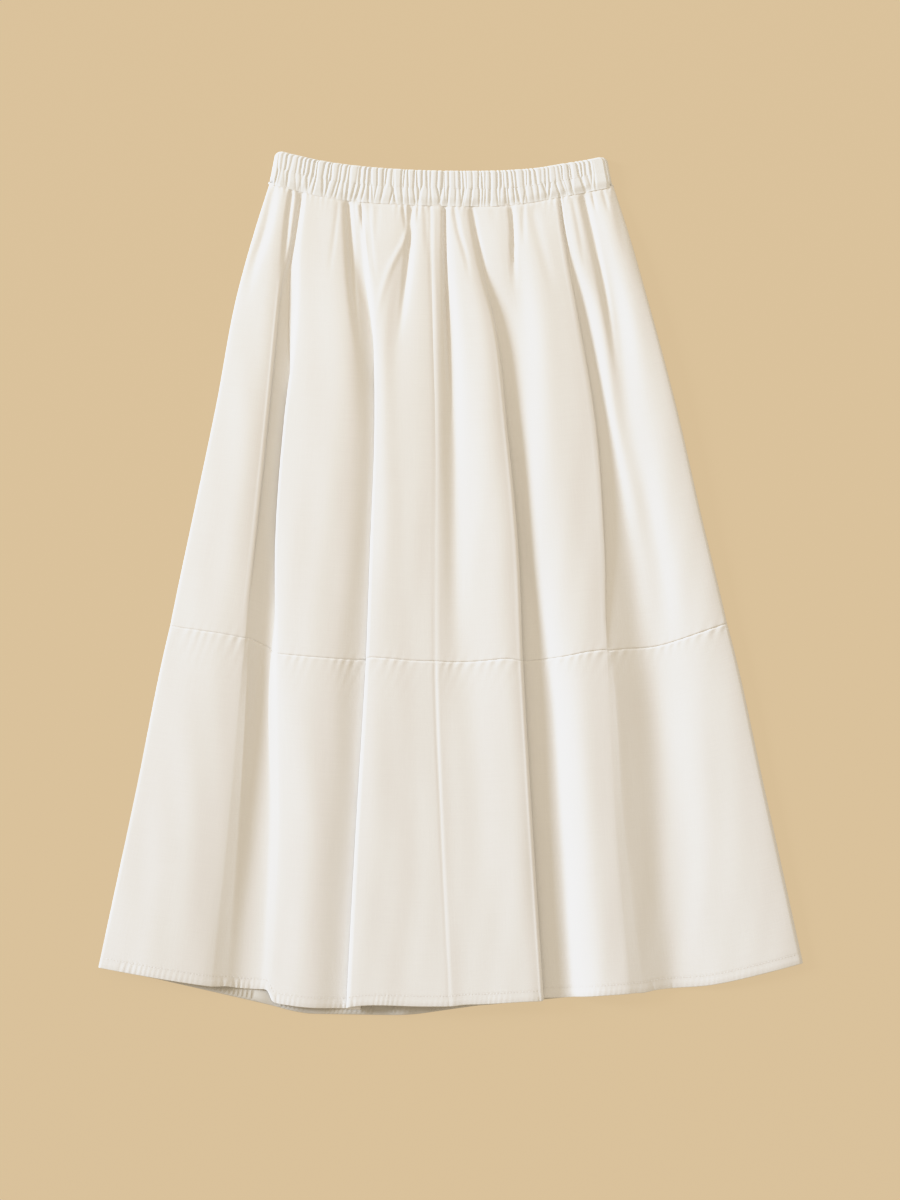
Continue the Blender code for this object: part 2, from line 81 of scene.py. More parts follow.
FRONT = (
    Line("side_left", (-173.2, -186.5, -204, -224, -246, -268, -302, -337),
         (4, 5.4, 6.6, 7.4, 8.2, 8.2), 455, 783),
    Line("a_rise", (-169, -180, -196, -216, -238, -260, -292, -326), (5, 6.6, 7.8, 8.2, 9, 8.8), 457, 785),
    Line("a_crest", (-163, -169, -176, -188, -204, -222, -246, -272),
         (6, 8.4, 9.9, 10.9, 12.2, 13), 462, 795),
    Lap("a_edge", "right", (-151, -158, -164, -174.5, -185.5, -197, -213, -231),
        (-5, -6, 0, 6, 6, -4, -12, -18),
        (5, 6.6, 5, 5.2, 9, 6), (5.6, 7.6, 8.8, 9, 10.8, 10.2), 467, 801, (0, 0)),
    Line("ab_floor", (-146.5, -154, -157, -165, -173.5, -183, -191, -203),
         (5, 5.8, 3.4, 2, 2.8, 3.5), 472, 803),
    Line("b_foot", (-143.5, -150, -153, -160.5, -164.5, -172, -176, -185),
         (5, 5.4, 2.8, 1.4, 2.4, 3.4), 477, 804),
    Lap("b_edge", "left", (-137, -143, -146, -159.5, -167.5, -167, -164, -171),
        (-4, -8, -9, 8, 12, -4, -8, -9),
        (5, 5.6, 3.4, 1.8, 3.2, 4), (5.8, 8.4, 8.6, 8.8, 7, 5.6), 482, 817, (2, 13)),
    Line("b_crest", (-124, -132, -134, -147, -156, -155, -151, -157), (6, 8.9, 9.8, 10.2, 9, 7.1), 483, 819),
    Line("b_top", (-116, -119, -112, -118, -126, -132, -136, -143), (6, 9.2, 11, 12, 10.6, 7.9), 485, 821),
    Line("b_shoulder", (-106, -101, -93, -94, -99, -107, -116, -128), (5.6, 9.2, 11, 12, 9.7, 7.3), 487, 822),
    Line("b_hollow", (-99, -95, -82, -77, -81, -87, -97, -107), (5, 6, 4, 6.8, 5, 3.8), 488, 822),
    Lap("c_edge", "left", (-85, -80, -74.5, -72.5, -76.5, -80.5, -90.5, -99.5),
        (-4, -5, -2, 10, 16, 18, 18, 12),
        (5, 6.2, 3.8, 4.4, 3, 3.2), (5.8, 8.8, 10.4, 11, 10.8, 11), 485, 821, (-4, -2)),
    Line("c_crest", (-56, -54, -62, -63, -62, -64, -70, -78), (6, 9.6, 11.6, 13, 12.6, 12.2), 486, 818),
    Line("c_hollow", (-34, -40.5, -51, -50, -46, -43, -39, -39), (5.2, 7.6, 9.8, 12, 11.4, 11.6), 488, 820),
    Line("c_ridge", (-27, -31, -37, -33, -32, -31, -26, -20), (6, 9.4, 11.4, 12.6, 11.4, 12), 489, 820),
    Line("centre_seam", (-17, -17, -15, -12.5, -13, -13, -7, 1), (5.4, 8.4, 10.4, 11.3, 11, 12.6), 489, 820),
    Line("seam_side", (-10, -9.5, -8, -6, -5, -3.5, 1, 7), (5.4, 7.8, 9, 9.6, 10.5, 12.4), 490, 819),
    Line("valley", (-5, -4, 0.5, 3, 4, 6, 11, 16), (5.2, 6.6, 5.6, 6.4, 9.8, 12.2), 490, 818),
    Line("d_rise", (0, 1.5, 6, 12, 15, 18, 25, 32), (5.6, 8.2, 9.2, 9.6, 10.2, 12.6), 490, 818),
    Line("d_crest", (8, 9, 18, 28, 34, 40, 50, 60), (6, 9, 11, 12.4, 12.4, 13.6), 488, 816),
    Line("d_shoulder", (13, 16, 31, 43, 50, 55, 66, 77), (5.8, 9.2, 11.8, 13.4, 13.4, 14), 486, 815),
    Lap("d_edge", "right", (18, 23, 41, 54.5, 64.5, 69, 78.5, 89), (-4, -5, -1, 6, 14, 18, 20, 20),
        (5, 6.2, 4.4, 5, 6.4, 6.8), (5.6, 8.2, 9.8, 11.4, 11.8, 12.4), 489, 815, (0, 3)),
    Line("de_floor", (25, 32, 46, 59, 68, 82, 95, 107), (5, 6, 3.4, 2.6, 2.8, 3.8), 489, 812),
    Line("e_rise", (44, 48, 56, 68, 74, 92, 106, 117), (6, 8, 4.6, 4, 4, 4.8), 487, 811),
    Line("e_hollow", (57, 62, 70, 79, 85.5, 101, 115, 127), (5.2, 6.8, 6.2, 7, 7.6, 9), 486, 811),
    Line("e_crest", (69, 74, 84, 92, 102, 114, 128, 141), (6, 9, 9.8, 10, 10.8, 12.8), 484, 810),
    Line("e_shoulder", (88, 91, 101, 112, 122, 130, 141, 154), (5.6, 8.8, 9.6, 10, 11.6, 13.8), 480, 809),
    Lap("e_edge", "right", (103, 109, 121, 139, 147, 149.5, 157, 170), (-2, -1, 4, 12, 10, -4, -10, -16),
        (5, 6.6, 4.4, 4.6, 9.2, 9.8), (5.6, 7.8, 8, 7.7, 10.3, 13), 478, 808, (-1, 1)),
    Line("ef_fall", (106, 112, 124.5, 145, 156, 168, 182, 198), (5.2, 6.4, 3.4, 2.4, 5.4, 6.4), 477, 804),
    Line("ef_floor", (109, 115, 129, 151, 169, 183, 198, 212), (5.2, 6.8, 3.6, 1.9, 1.2, 3.2), 477, 803),
    Line("f_ridge", (116, 122, 141.5, 159, 182, 199, 214, 228), (6, 8.4, 8.8, 6.4, 1.8, 3.2), 475, 802),
    Line("f_hollow", (130, 140, 156, 171, 195, 213, 230, 245), (5, 6.4, 5, 4.8, 3.8, 4.4), 471, 801),
    Line("f_crest", (138, 151, 168, 190, 208, 228, 250, 270), (6, 8.6, 9.4, 9.8, 7.2, 6.8), 466, 797),
    Line("f_shoulder", (149, 162, 179, 207, 229, 252, 284, 318), (5.6, 8.4, 9.4, 9.8, 8.2, 7.2), 457, 784),
    Line("side_right", (156, 169.5, 187.5, 215.5, 239.5, 264.5, 301.5, 337.5),
         (3.6, 5.4, 7.8, 8.6, 7, 5.8), 453, 779),
)
CENTRE_SEAM = "centre_seam"
SEAM_EDGE = (1.2, 1.2, 1.1, 0.6, 0.4, 0.75, 0.6, 0.35)  # how sharply the seam's edge stands out at STOPS
TOP_STOP = -0.004  # the cloth starts a little under the waistband
UPPER_ROWS, LOWER_ROWS = 130, 60  # how many rows of faces run down each tier
UPPER_LENGTH = 437.0  # the length of each tier down the middle
LOWER_LENGTH = 330.0
FINE_ROWS = (0.25, 0.5, 0.8, 1.2, 1.8, 2.6, 3.6, 5.0)  # how far from a seam the rows beside it lie

# How the hem is turned: the turn's radius in thicknesses, the shares of its half circle that have a row, and
# the shares of the hem's depth that have one inside, where the cloth ends above the stitching.
HEM_RADIUS = 0.85
HEM_TURN = (0.25, 0.5, 0.75)
HEM_ALLOWANCE = (0.0, 0.2, 0.5, 0.8, 1.1, 1.25)

# How the front cloth turns over the side seam: how far out each turn's point lies and how far down.
SIDE_TURNS = ((3.0, 2.6), (0.8, 2.4), (-0.4, 1.2))

# A soft ridge down the back panel, under a crest of the front: its place across at STOPS, how far it reaches
# to each side, and its height at RISE_STOPS over the flat cloth.
Ridge = namedtuple("Ridge", "across reach rise")
BACK_RIDGES = (
    Ridge((-153, -165, -184, -204, -224, -242, -266, -290), 8, (0.6, 1.5, 2, 2.5, 2, 1.5)),
    Ridge((-117, -122, -120, -118, -126, -132, -140, -152), 15, (0.8, 3, 3.5, 3.5, 3, 2)),
    Ridge((-52, -50, -52, -38, -34, -34, -38, -46), 12, (0.8, 3, 3.5, 4, 4, 3)),
    Ridge((4, 6, 16, 24, 24, 24, 30, 38), 9, (0.8, 3, 3.5, 4, 4, 3)),
    Ridge((80, 80, 86, 98, 108, 118, 128, 140), 9, (0.8, 2.5, 3, 3, 3, 2)),
    Ridge((134, 148, 165, 188, 208, 228, 252, 280), 8, (0.6, 2, 2.5, 3, 3, 2)),
)
RIDGE_FOOT = 4.0  # how wide the foot is on each side of a ridge
SIDE_FOOT = 9.0  # how far in from the side seams the back cloth starts to rise to meet the front
SIDE_DROP = 1.5  # how far under the front's sides the back's sides lie
HEM_SINK = 0.5  # how much lower they lie at the hem, where the cloth is double
SIDE_INSET = 0.8  # how far inside the front's sides they lie

# A crease in the cloth: its places across, evenly spaced from its start to its end, which are given as
# lengths below the waistband's top, then its half width and its depth, which is negative on a ridge. The
# first ones start at the waistband, and the last ones start at the hem and end above it.
Crease = namedtuple("Crease", "across start end width depth")
CREASES = [Crease(*row) for row in (
    ((-169, -177, -189, -197), 36, 150, 4.5, 1.5),
    ((-152, -156, -159, -163), 36, 128, 2.6, 1.9),
    ((-143, -148, -154, -160), 38, 150, 2.6, 2.3),
    ((-107, -112, -118), 44, 130, 2, 0.4),
    ((-99, -97, -94.5, -90, -84), 40, 210, 3.4, 2.8),
    ((-91, -88.5, -88), 44, 76, 1.5, -0.8),
    ((-86, -84.5, -83), 44, 86, 1.5, 1.4),
    ((-78.5, -77, -71), 46, 130, 2, 1.0),
    ((-70, -71, -72), 46, 96, 1.8, 0.5),
    ((-32, -43, -58, -67, -71.5), 54, 172, 3, -0.8),
    ((-47, -44, -43), 46, 80, 1.6, 1.0),
    ((-37, -39, -42, -46, -51), 44, 190, 3, 2.2),
    ((-31, -32), 46, 66, 1.4, 1.4),
    ((-24, -23, -21), 48, 110, 2.4, 0.5),
    ((-5.5, -5, -3, -0.5, 1.5), 44, 290, 2.2, 3.4),
    ((3, 7, 15, 19), 46, 132, 2.6, 0.9),
    ((18, 24, 32, 40), 44, 150, 3, 1.8),
    ((40, 44), 48, 74, 1.6, 0.6),
    ((57, 60, 60.5, 62), 44, 140, 2, 2.3),
    ((70, 70, 71), 50, 96, 1.8, 0.8),
    ((79, 86, 93.5, 100), 60, 146, 5, 0.6),
    ((104.5, 108.5, 114, 120), 42, 136, 1.3, 2),
    ((116, 124, 130), 42, 122, 2, 0.6),
    ((126, 137, 147, 155, 162), 38, 230, 3.4, 2.4),
    ((135, 140), 36, 60, 1.6, 1.0),
    ((146, 152), 36, 62, 2.4, 0.7),
    ((157, 164, 171), 46, 110, 4.5, 0.5),
    ((-218, -219.5), 804, 791, 1.2, 0.7),
    ((-207, -209), 805, 792, 1.3, 0.9),
    ((-202, -203), 806, 793, 1.0, 0.6),
    ((-191, -194), 806, 796, 1.4, 0.5),
    ((-166, -168), 818, 808, 1.2, 0.4),
    ((-104, -107), 823, 812, 1.2, 0.5),
    ((-92, -96), 823, 811, 1.3, 0.5),
    ((86, 84), 817, 808, 1.2, 0.4),
    ((196, 192), 807, 797, 1.4, 0.5),
    ((214, 211), 806, 797, 1.2, 0.4),
)]

# The waistband's top and bottom edges: each place across, and how far the edge lies below the top of the
# band's ends there.
BAND_TOP = ((-168, 1.6), (-162, 0.6), (-154, 2.3), (-144, 4.7), (-125, 8.8), (-100, 12.8),
            (-87, 14.3), (-48, 17.4), (5, 19), (60, 18), (86, 15.8), (103, 12.9),
            (121, 10.1), (136, 7.5), (143, 6.2), (150, 6.8))
BAND_BOTTOM = ((-174, 31.8), (-167, 33.6), (-109, 46.5), (-49, 51.5), (-6, 53),
               (61, 51.8), (108, 44), (155.5, 34.7))

# Where the back panel's lower edges lie. Its hem dips below the front's, left of the middle.
BACK_TIER_SEAM = ((-269, 455), (-200, 468), (-100, 486), (0, 489), (100, 486), (200, 468),
                  (265, 453))
BACK_HEM = ((-338, 783), (-274, 796), (-235, 806), (-180, 817), (-147, 826), (-98, 828),
            (-20, 826.5), (5, 822), (46, 818), (105, 813), (171, 804), (240, 796),
            (338, 779))

# A band's base is the height of its plain side, its body is the casing with the elastic in it, and its
# gathers stand above that.
Band = namedtuple("Band", "base body gather")
FRONT_BAND = Band(3.9, 2.2, 1.15)
BACK_BAND = Band(0.0, 2.4, 0.6)
BAND_CORNER = 3.6  # how far the band's top corners are rounded off
BAND_RIM = 1.6  # the radius of the band's rolled top edge and ends
END_ROLL = 5.0  # how far in from its ends the front band starts to roll down to meet the back one
END_RISE = 3.0  # the height of the front band's ends
BAND_WALL = 1.4  # the thickness of the band's face and its turned edges
PLAIN_END = 13.0  # how much of the band's right end has no gathers
GATHER_COLUMNS, BAND_ROWS = 10, 44  # columns of faces across each gather, and rows of faces down the band
ROWS_CROWD = 0.6  # how much closer together the rows lie at the band's edges
GATHERS_FADE = 3.0  # how far from where the gathers start they are whole
END_GROOVE, END_GROOVE_PLACE, END_GROOVE_WIDTH = 0.9, 3.2, 0.9  # the seam at the right end
FOOT_VALLEY = 0.35  # how far the valleys go down at the band's bottom edge
WIDTH_CHANGE = 0.3  # how unevenly wide the valleys are

# Shares of the band's depth: what its rounded corners take, how far the gathers take to jump at the middle
# stitching, the half width of its dip, how far the scallops reach, and where the band starts to sink.
CORNER_SHARE, JOG_SHARE, PINCH_SHARE, SCALLOP_SHARE, SINK_FROM = 0.12, 0.12, 0.035, 0.1, 0.74

# The middle of the valleys' depth above the middle stitching and below it, and the share of the lean that
# they have above it.
UPPER_DEPTH, LOWER_DEPTH, UPPER_LEAN = 0.62, 0.6, 0.35

# The lengths of the two waves that make the pinch uneven, and its strength's middle.
PINCH_WAVES = (3.1, 7.7)
PINCH_STRENGTH = 0.6

# The puckers beside a row of sewing: how far apart they lie, how they lean, where their waves start, their
# height in pucker depths, and their reach, which is in hem depths at the hems.
Puckers = namedtuple("Puckers", "spacing lean start height reach")
SEAM_PUCKERS = Puckers(9.5, 0.45, 0.7, 1.0, 13.0)
WAIST_PUCKERS = Puckers(5.6, 0.1, 2.1, 1.2, 5.0)
HEM_PUCKERS = Puckers(5.2, 0.7, 4.2, 0.9, 0.6)
BACK_HEM_PUCKERS = Puckers(4.4, 1.3, 1.3, 2.4, 0.7)
ABOVE_SEAM_HEIGHT, ABOVE_SEAM_REACH = 0.45, 5.0  # the same of the puckers above the tier seam
HEM_MIDDLE = 0.4  # where the front hem's puckers are highest, in hem depths

# Slow waves make the puckers uneven: each one's length across and how many radians it shifts them, then the
# lengths of the two that change their strength, and the strength's middle and change.
PUCKER_SHIFTS = ((17.0, 1.6), (7.3, 0.9))
PUCKER_SWELLS = (29.0, 11.0)
PUCKER_STRENGTH, PUCKER_CHANGE = 0.55, 0.45

# The dip along a row of sewing: its depth, which is in seam dips but for the waistband's, its half width,
# and how far below the sewing it lies.
Dip = namedtuple("Dip", "depth width below")
SEAM_DIP = Dip(1.0, 0.7, 0.3)
WAIST_DIP = Dip(0.3, 1.6, 0.0)
HEM_DIP = Dip(0.2, 1.0, 0.0)

# The rolled edge of a lap that opens to the right: how far inside the edge its crown lies, its half width,
# the tuck at which it starts to show, and how much more tuck shows it whole.
ROLL_INSIDE, ROLL_WIDTH = 2.2, 1.3
ROLL_FROM, ROLL_GROWS = -4.0, 6.0

# The centre seam's edge: its height in edge rolls, the width of its step, and how far it fades out to its
# right. The groove to its left: its depth in edge rolls, its place and its half width.
SEAM_STEP, SEAM_STEP_WIDTH, SEAM_STEP_FADE = 1.8, 2.0, 5.0
SEAM_GROOVE, SEAM_GROOVE_PLACE, SEAM_GROOVE_WIDTH = 1.2, 2.4, 1.5
SEAM_NEAR = 30.0  # how far from the seam its edge is worked out

CREASE_AT_BAND = 0.35  # how much of a crease's depth is there at the waistband's edge
CREASE_GROWS = 6.0  # how far below the waistband a crease has its whole depth
SMOOTH_ANGLE = math.radians(55.0)  # the sharpest turn of a surface that still looks smooth
CLOTH_CLOUDS = 14.0  # how fine the cloudy unevenness of the cloth's colour is, and of the thread's
THREAD_CLOUDS = 900.0
COTTON_ROUGHNESS, YARN_ROUGHNESS = 0.88, 0.1  # the cloth's, and how much it changes by the yarn
CLOTH_TONE, CASING_TONE, THREAD_TONE = 0.05, 0.045, 0.1  # how much brighter and darker the colour gets
YARN_HEIGHT = 0.00008  # how far the yarns rise, in metres
WEAVE_SHARE = 0.35  # how much of that is the weave's over and under, beside the yarns' own unevenness
SLUB_WIDTHS, SLUB_LENGTHS = 1600.0, 26.0  # how many of a yarn's thick places fit across a metre, and along it
STITCHES_FROM = 0.011  # how far in from the cloth's ends a row of stitches starts, in metres
STITCH_ROW_STEP = 0.004  # how far beside a row of stitches the cloth's slope is taken, in stops
BAND_LIFT = 0.0001  # how high the waistband's stitches stand out of the cloth, in metres
SEWN_FROM = 20  # how many columns of the waistband's ends have no stitches
THREAD_SIDES, THREAD_RINGS = 6, 4  # faces round a stitch, and rings of faces along it

FLOOR_HEIGHT = -0.0001  # just under the cloth
CAMERA_OVER = (-0.0005, -0.016)  # the place on the floor that the camera looks straight down on
TOP_LIGHT_PLACE = (-0.2, 1.5, 1.7)  # the soft light that makes the waist a little brighter than the hem

# How the picture shows bright cloth: each brightness, and the one that it is shown with.
BRIGHTEST = (4.0, 0.92)
HIGHLIGHT_CURVE = ((0.4, 0.4), (0.7, 0.7), (0.8, 0.795), (0.9, 0.86), (1.05, 0.892), (1.4, 0.905))


def size(name, description, default):
    return FloatProperty(name=name, description=description, default=default, unit="LENGTH")


def number(name, description, default):
    return FloatProperty(name=name, description=description, default=default)


def angle(name, description, degrees):
    return FloatProperty(name=name, description=description, default=math.radians(degrees), subtype="ANGLE")


def colour(name, description, default):
    return FloatVectorProperty(
        name=name, description=description, default=default, subtype="COLOR", size=3, min=0.0, max=1.0)


class SkirtClothSettings(PropertyGroup):
    """Sizes of the cloth and its sewing."""

    thickness: size("Cloth thickness", "Thickness of the cotton", 0.0006)
    column_width: size("Column width", "Widest step across an upper panel's mesh", 0.0022)
    hem_column_width: size("Hem column width", "Widest step across a lower panel's mesh", 0.0012)
    hem_depth: size("Hem depth", "From the hem's edge up to its stitching", 0.0096)
    seam_dip: size("Seam dip", "How deep the cloth dips along a sewn seam", 0.0007)
    pucker: size("Pucker depth", "Height of the puckers beside the sewing", 0.00026)
    ripple: size("Ripple depth", "Height of the soft unevenness of the cloth", 0.00025)
    edge_roll: size("Edge roll", "How far a fold's edge stands proud", 0.00028)


class SkirtBandSettings(PropertyGroup):
    """Sizes of the waistband's gathers and sewing."""

    gathers: IntProperty(name="Gathers", description="How many lie along half the band", default=74, min=10)
    drift: number("Drift", "How unevenly the gathers are spaced, in gathers", 0.38)
    lean: size("Lean", "How far the valleys lean below the middle stitching", 0.0038)
    jog: size("Jog", "How far the valleys jump at the middle stitching", 0.0013)
    valley: size("Valley", "Half width of the valleys between the gathers", 0.00105)
    scallop: size("Scallop", "How far the valleys cut into the band's edges", 0.0005)
    pinch: size("Stitch pinch", "Depth of the dip along the middle stitching", 0.00018)
    step: size("Step", "How far the band's bottom edge stands over the panel", 0.0003)


class SkirtStitchSettings(PropertyGroup):
    """Sizes of the stitches in the hems and the waistband."""

    length: size("Stitch length", "Length of one stitch that shows", 0.0023)
    pitch: size("Stitch pitch", "From one stitch to the next", 0.0031)
    thread: size("Thread width", "Width of the thread", 0.00042)


class SkirtFinishSettings(PropertyGroup):
    """Colours and yarns of the cloth, where the inside's colour is darkened with painted shade."""

    cloth: colour("Cloth", "Colour of the front's cotton", (0.80, 0.785, 0.755))
    # The inside's colour is painted shade: darker and browner than the front's cotton, for the shadow under
    # the front's hem
    inside: colour("Inside", "Colour of the cotton's inner side, in its own shade", (0.6, 0.565, 0.495))
    casing: colour("Casing", "Colour of the waistband's cotton", (0.79, 0.79, 0.772))
    thread: colour("Thread", "Colour of the sewing thread", (0.82, 0.80, 0.77))
    yarn: size("Yarn spacing", "Distance between the cotton's yarns", 0.00045)


class SkirtStageSettings(PropertyGroup):
    """The floor, the lights and the camera."""

    floor: colour("Floor", "Colour of the floor", (0.701, 0.539, 0.332))
    floor_size: size("Floor size", "Side of the floor", 16.0)
    floor_glow: number("Floor glow", "Share of the floor's brightness that no shadow dims", 0.9)
    view_height: size("View height", "Height of the camera over the skirt", 5.0)
    view_span: size("View span", "Length of floor that the picture's height shows", 1.152)
    key_elevation: angle("Key elevation", "Height of the main light over the floor", 18.0)
    key_azimuth: angle("Key direction", "Where the main light comes from, counted from +X", 162.0)
    key_softness: angle("Key softness", "How wide the main light looks", 15.0)
    key_strength: number("Key strength", "Strength of the main light", 3.9)
    key_colour: colour("Key colour", "Colour of the main light", (0.68, 0.80, 1.0))
    fill_strength: number("Fill strength", "Strength of the light from all round", 0.64)
    fill_colour: colour("Fill colour", "Colour of the light all round and the top light", (1.0, 0.875, 0.70))
    top_power: number("Top light", "Power of the soft light beyond the waist, in watts", 10.0)
    top_size: size("Top light size", "Side of the soft light beyond the waist", 1.4)


# Shapes worked out from the tables


def smooth_step(share):
    share = np.clip(share, 0.0, 1.0)
    return share * share * (3.0 - 2.0 * share)


def bump(distance, reach):
    """A smooth bell, 1 in its middle and narrow as its reach."""
    return np.exp(-(distance / reach) ** 2)


def rounding(share):
    """How far a rounded edge lies inside its corner: 1 at the edge, and 0 from a share of 1 on."""
    return 1.0 - np.sqrt(1.0 - (1.0 - np.clip(share, 0.0, 1.0)) ** 2)


def along(stops, values, at):
    """The values at places, on a smooth curve through the values at the stops."""
    stops, values = np.asarray(stops, dtype=float), np.asarray(values, dtype=float)
    at = np.asarray(at, dtype=float)
    slopes = np.gradient(values, stops)
    index = np.clip(np.searchsorted(stops, at, side="right") - 1, 0, len(stops) - 2)
    span = stops[index + 1] - stops[index]
    share = (at - stops[index]) / span
    square, cube = share ** 2, share ** 3
    return ((2 * cube - 3 * square + 1) * values[index]
            + (cube - 2 * square + share) * span * slopes[index]
            + (3 * square - 2 * cube) * values[index + 1]
            + (cube - square) * span * slopes[index + 1])


def edge_drop(edges, across):
    """How far down an edge lies at places across it."""
    places, drops = zip(*edges)
    return along(places, drops, np.clip(across, places[0], places[-1]))


def lap_points(lap, stops):
    """A lap's points at the stops, from the cloth under it round its hidden turn to the cloth over it."""
    edge = along(STOPS, lap.across, stops)
    tuck = along(STOPS, lap.tuck, stops)
    under = along(RISE_STOPS, lap.under, stops)
    over = along(RISE_STOPS, lap.over, stops)
    middle = (under + over) / 2.0
    layers = (under, under, middle, middle, middle, middle, over, over)
    pressed = smooth_step(tuck / SOFT_TUCK)
    turn = np.minimum(TURN, tuck / 2.5)
    folded = (tuck - turn, tuck, tuck, tuck - turn, turn, 0.0 * tuck, 0.0 * tuck, np.minimum(EDGE_TURN, turn))
    side = 1.0 if lap.opens == "left" else -1.0
    points = []
    for step in range(LAP_STEPS + 1):
        share = step / LAP_STEPS
        behind = np.where(tuck > 0.0, folded[step], tuck * (1.0 - share))
        ramp = under + (over - under) * share
        points.append((edge + side * behind,
                       ramp + (layers[step] - ramp) * pressed,
                       0.0 * edge + lap.seam - lap.lifts[0] * (1.0 - share ** 3),
                       0.0 * edge + lap.hem - lap.lifts[1] * (1.0 - share ** 3)))
    return points if lap.opens == "left" else points[::-1]


def line_points(line, stops):
    across = along(STOPS, line.across, stops)
    return [(across, along(RISE_STOPS, line.rise, stops), 0.0 * across + line.seam, 0.0 * across + line.hem)]


def side_points(line, out, stops):
    """The points that turn the cloth over a side seam, from its end to the seam."""
    (across, rise, seam, hem), = line_points(line, stops)
    return [(across - out * inward, rise - down, seam, hem) for inward, down in SIDE_TURNS]


def crisper(points):
    """The points moved so that the smooth curve they steer passes nearer to where they were."""
    moved = points.copy()
    before = points[:, :-2, :2] - points[:, 1:-1, :2]
    after = points[:, 2:, :2] - points[:, 1:-1, :2]
    spans = np.sort([np.linalg.norm(before, axis=2), np.linalg.norm(after, axis=2)], axis=0)
    evenness = (spans[0] / np.maximum(spans[1], 1e-6))[:, :, None]
    moved[:, 1:-1, :2] -= CRISPNESS / 6.0 * evenness * (before + after)
    return moved


def front_points(stops):
    """The points that steer the front cloth at the stops: their places across, heights, seams and hems."""
    stops = np.clip(stops, STOPS[0], STOPS[-1])
    points = side_points(FRONT[0], -1.0, stops)
    for row in FRONT:
        points += lap_points(row, stops) if isinstance(row, Lap) else line_points(row, stops)
    points += side_points(FRONT[-1], 1.0, stops)[::-1]
    return crisper(np.moveaxis(np.array(points), 2, 0))


def back_points(stops):
    """The points that steer the back cloth at the stops, flat but for its ridges and its sides."""
    stops = np.clip(stops, STOPS[0], STOPS[-1])
    flat = bpy.context.scene.skirt_cloth.thickness / MM / 2.0
    left, right = [along(STOPS, row.across, stops) for row in (FRONT[0], FRONT[-1])]
    drop = SIDE_DROP + HEM_SINK * smooth_step((stops - 1.9) / 0.1)
    left_rise, right_rise = [along(RISE_STOPS, row.rise, stops) - drop for row in (FRONT[0], FRONT[-1])]
    level = np.full_like(left, flat)
    places = [(left + SIDE_INSET, left_rise), (left + SIDE_FOOT, level)]
    for ridge in BACK_RIDGES:
        middle = along(STOPS, ridge.across, stops)
        top = flat + along(RISE_STOPS, ridge.rise, stops)
        foot = ridge.reach + RIDGE_FOOT
        places += [(middle - foot, level), (middle - ridge.reach, level), (middle, top),
                   (middle + ridge.reach, level), (middle + foot, level)]
    places += [(right - SIDE_FOOT, level), (right - SIDE_INSET, right_rise)]
    at_seam, at_hem = [(FRONT[0].across[index], FRONT[-1].across[index]) for index in (5, 7)]
    points = []
    for across, rise in places:
        share = (across - left) / (right - left)
        points.append((across, rise,
                       edge_drop(BACK_TIER_SEAM, at_seam[0] + (at_seam[1] - at_seam[0]) * share),
                       edge_drop(BACK_HEM, at_hem[0] + (at_hem[1] - at_hem[0]) * share)))
    return np.moveaxis(np.array(points), 2, 0)


def centre_seam_place():
    """Which of the front's control points is the centre seam's."""
    before = FRONT[:[row.name for row in FRONT].index(CENTRE_SEAM)]
    return len(SIDE_TURNS) + sum(LAP_STEPS + 1 if isinstance(row, Lap) else 1 for row in before)


def spline_weights(count, places):
    """The cubic B-spline's weights of each of count control points, at places along them."""
    weights = np.zeros((len(places), count + 2))
    for row, place in zip(weights, places):
        index = min(int(place), count - 2)
        t = place - index
        row[index:index + 4] = (
            (1 - t) ** 3, 3 * t ** 3 - 6 * t ** 2 + 4, -3 * t ** 3 + 3 * t ** 2 + 3 * t + 1, t ** 3)
    weights /= 6.0
    weights[:, 1] += 2 * weights[:, 0]
    weights[:, 2] -= weights[:, 0]
    weights[:, -2] += 2 * weights[:, -1]
    weights[:, -3] -= weights[:, -1]
    return weights[:, 1:-1]


def fine_places(steer, width):
    """Places along the control points, close enough together that no step is wider than width at any stop."""
    control = steer(np.array([0.5, 1.0, 2.0]))
    steps = np.linalg.norm(np.diff(control[:, :, :2], axis=1), axis=2).max(axis=0)
    places = [0.0]
    for index, step in enumerate(steps):
        count = max(2, math.ceil(step / width))
        places += [index + (part + 1) / count for part in range(count)]
    return np.array(places)


# The cloth's surface: its sections, and the relief that sewing and wear give it


Sheet = namedtuple("Sheet", "across down rise waist seam hem stops")


def sheet_at(steer, places, stops):
    """The cloth's points at the stops (rows) and places (columns), and where its seams lie in each column."""
    weights = spline_weights(steer(stops[:1]).shape[1], places)
    across, rise, seam, hem = np.moveaxis(np.einsum("pc,rcv->rpv", weights, steer(stops)), 2, 0)
    at_waist = weights @ steer(np.array([0.0]))[0][:, 0]
    waist = np.broadcast_to(edge_drop(BAND_BOTTOM, at_waist), across.shape)
    down = waist + (seam - waist) * np.minimum(stops, 1.0)[:, None]
    down = down + (hem - seam) * np.maximum(stops - 1.0, 0.0)[:, None]
    return Sheet(across, down, rise, waist, seam, hem, stops)


def crease_relief(sheet):
    """The short creases by the waistband and the hem, fading in and out along their length."""
    relief = np.zeros_like(sheet.across)
    loose = CREASE_AT_BAND + (1.0 - CREASE_AT_BAND) * smooth_step((sheet.down - sheet.waist) / CREASE_GROWS)
    for crease in CREASES:
        share = (sheet.down - crease.start) / (crease.end - crease.start)
        places = np.linspace(0.0, 1.0, len(crease.across))
        middle = along(places, crease.across, np.clip(share, 0.0, 1.0))
        fade = smooth_step((share + 0.1) / 0.1) * smooth_step((1.0 - share) / 0.6)
        relief -= crease.depth * bump(sheet.across - middle, crease.width) * fade
    return relief * loose


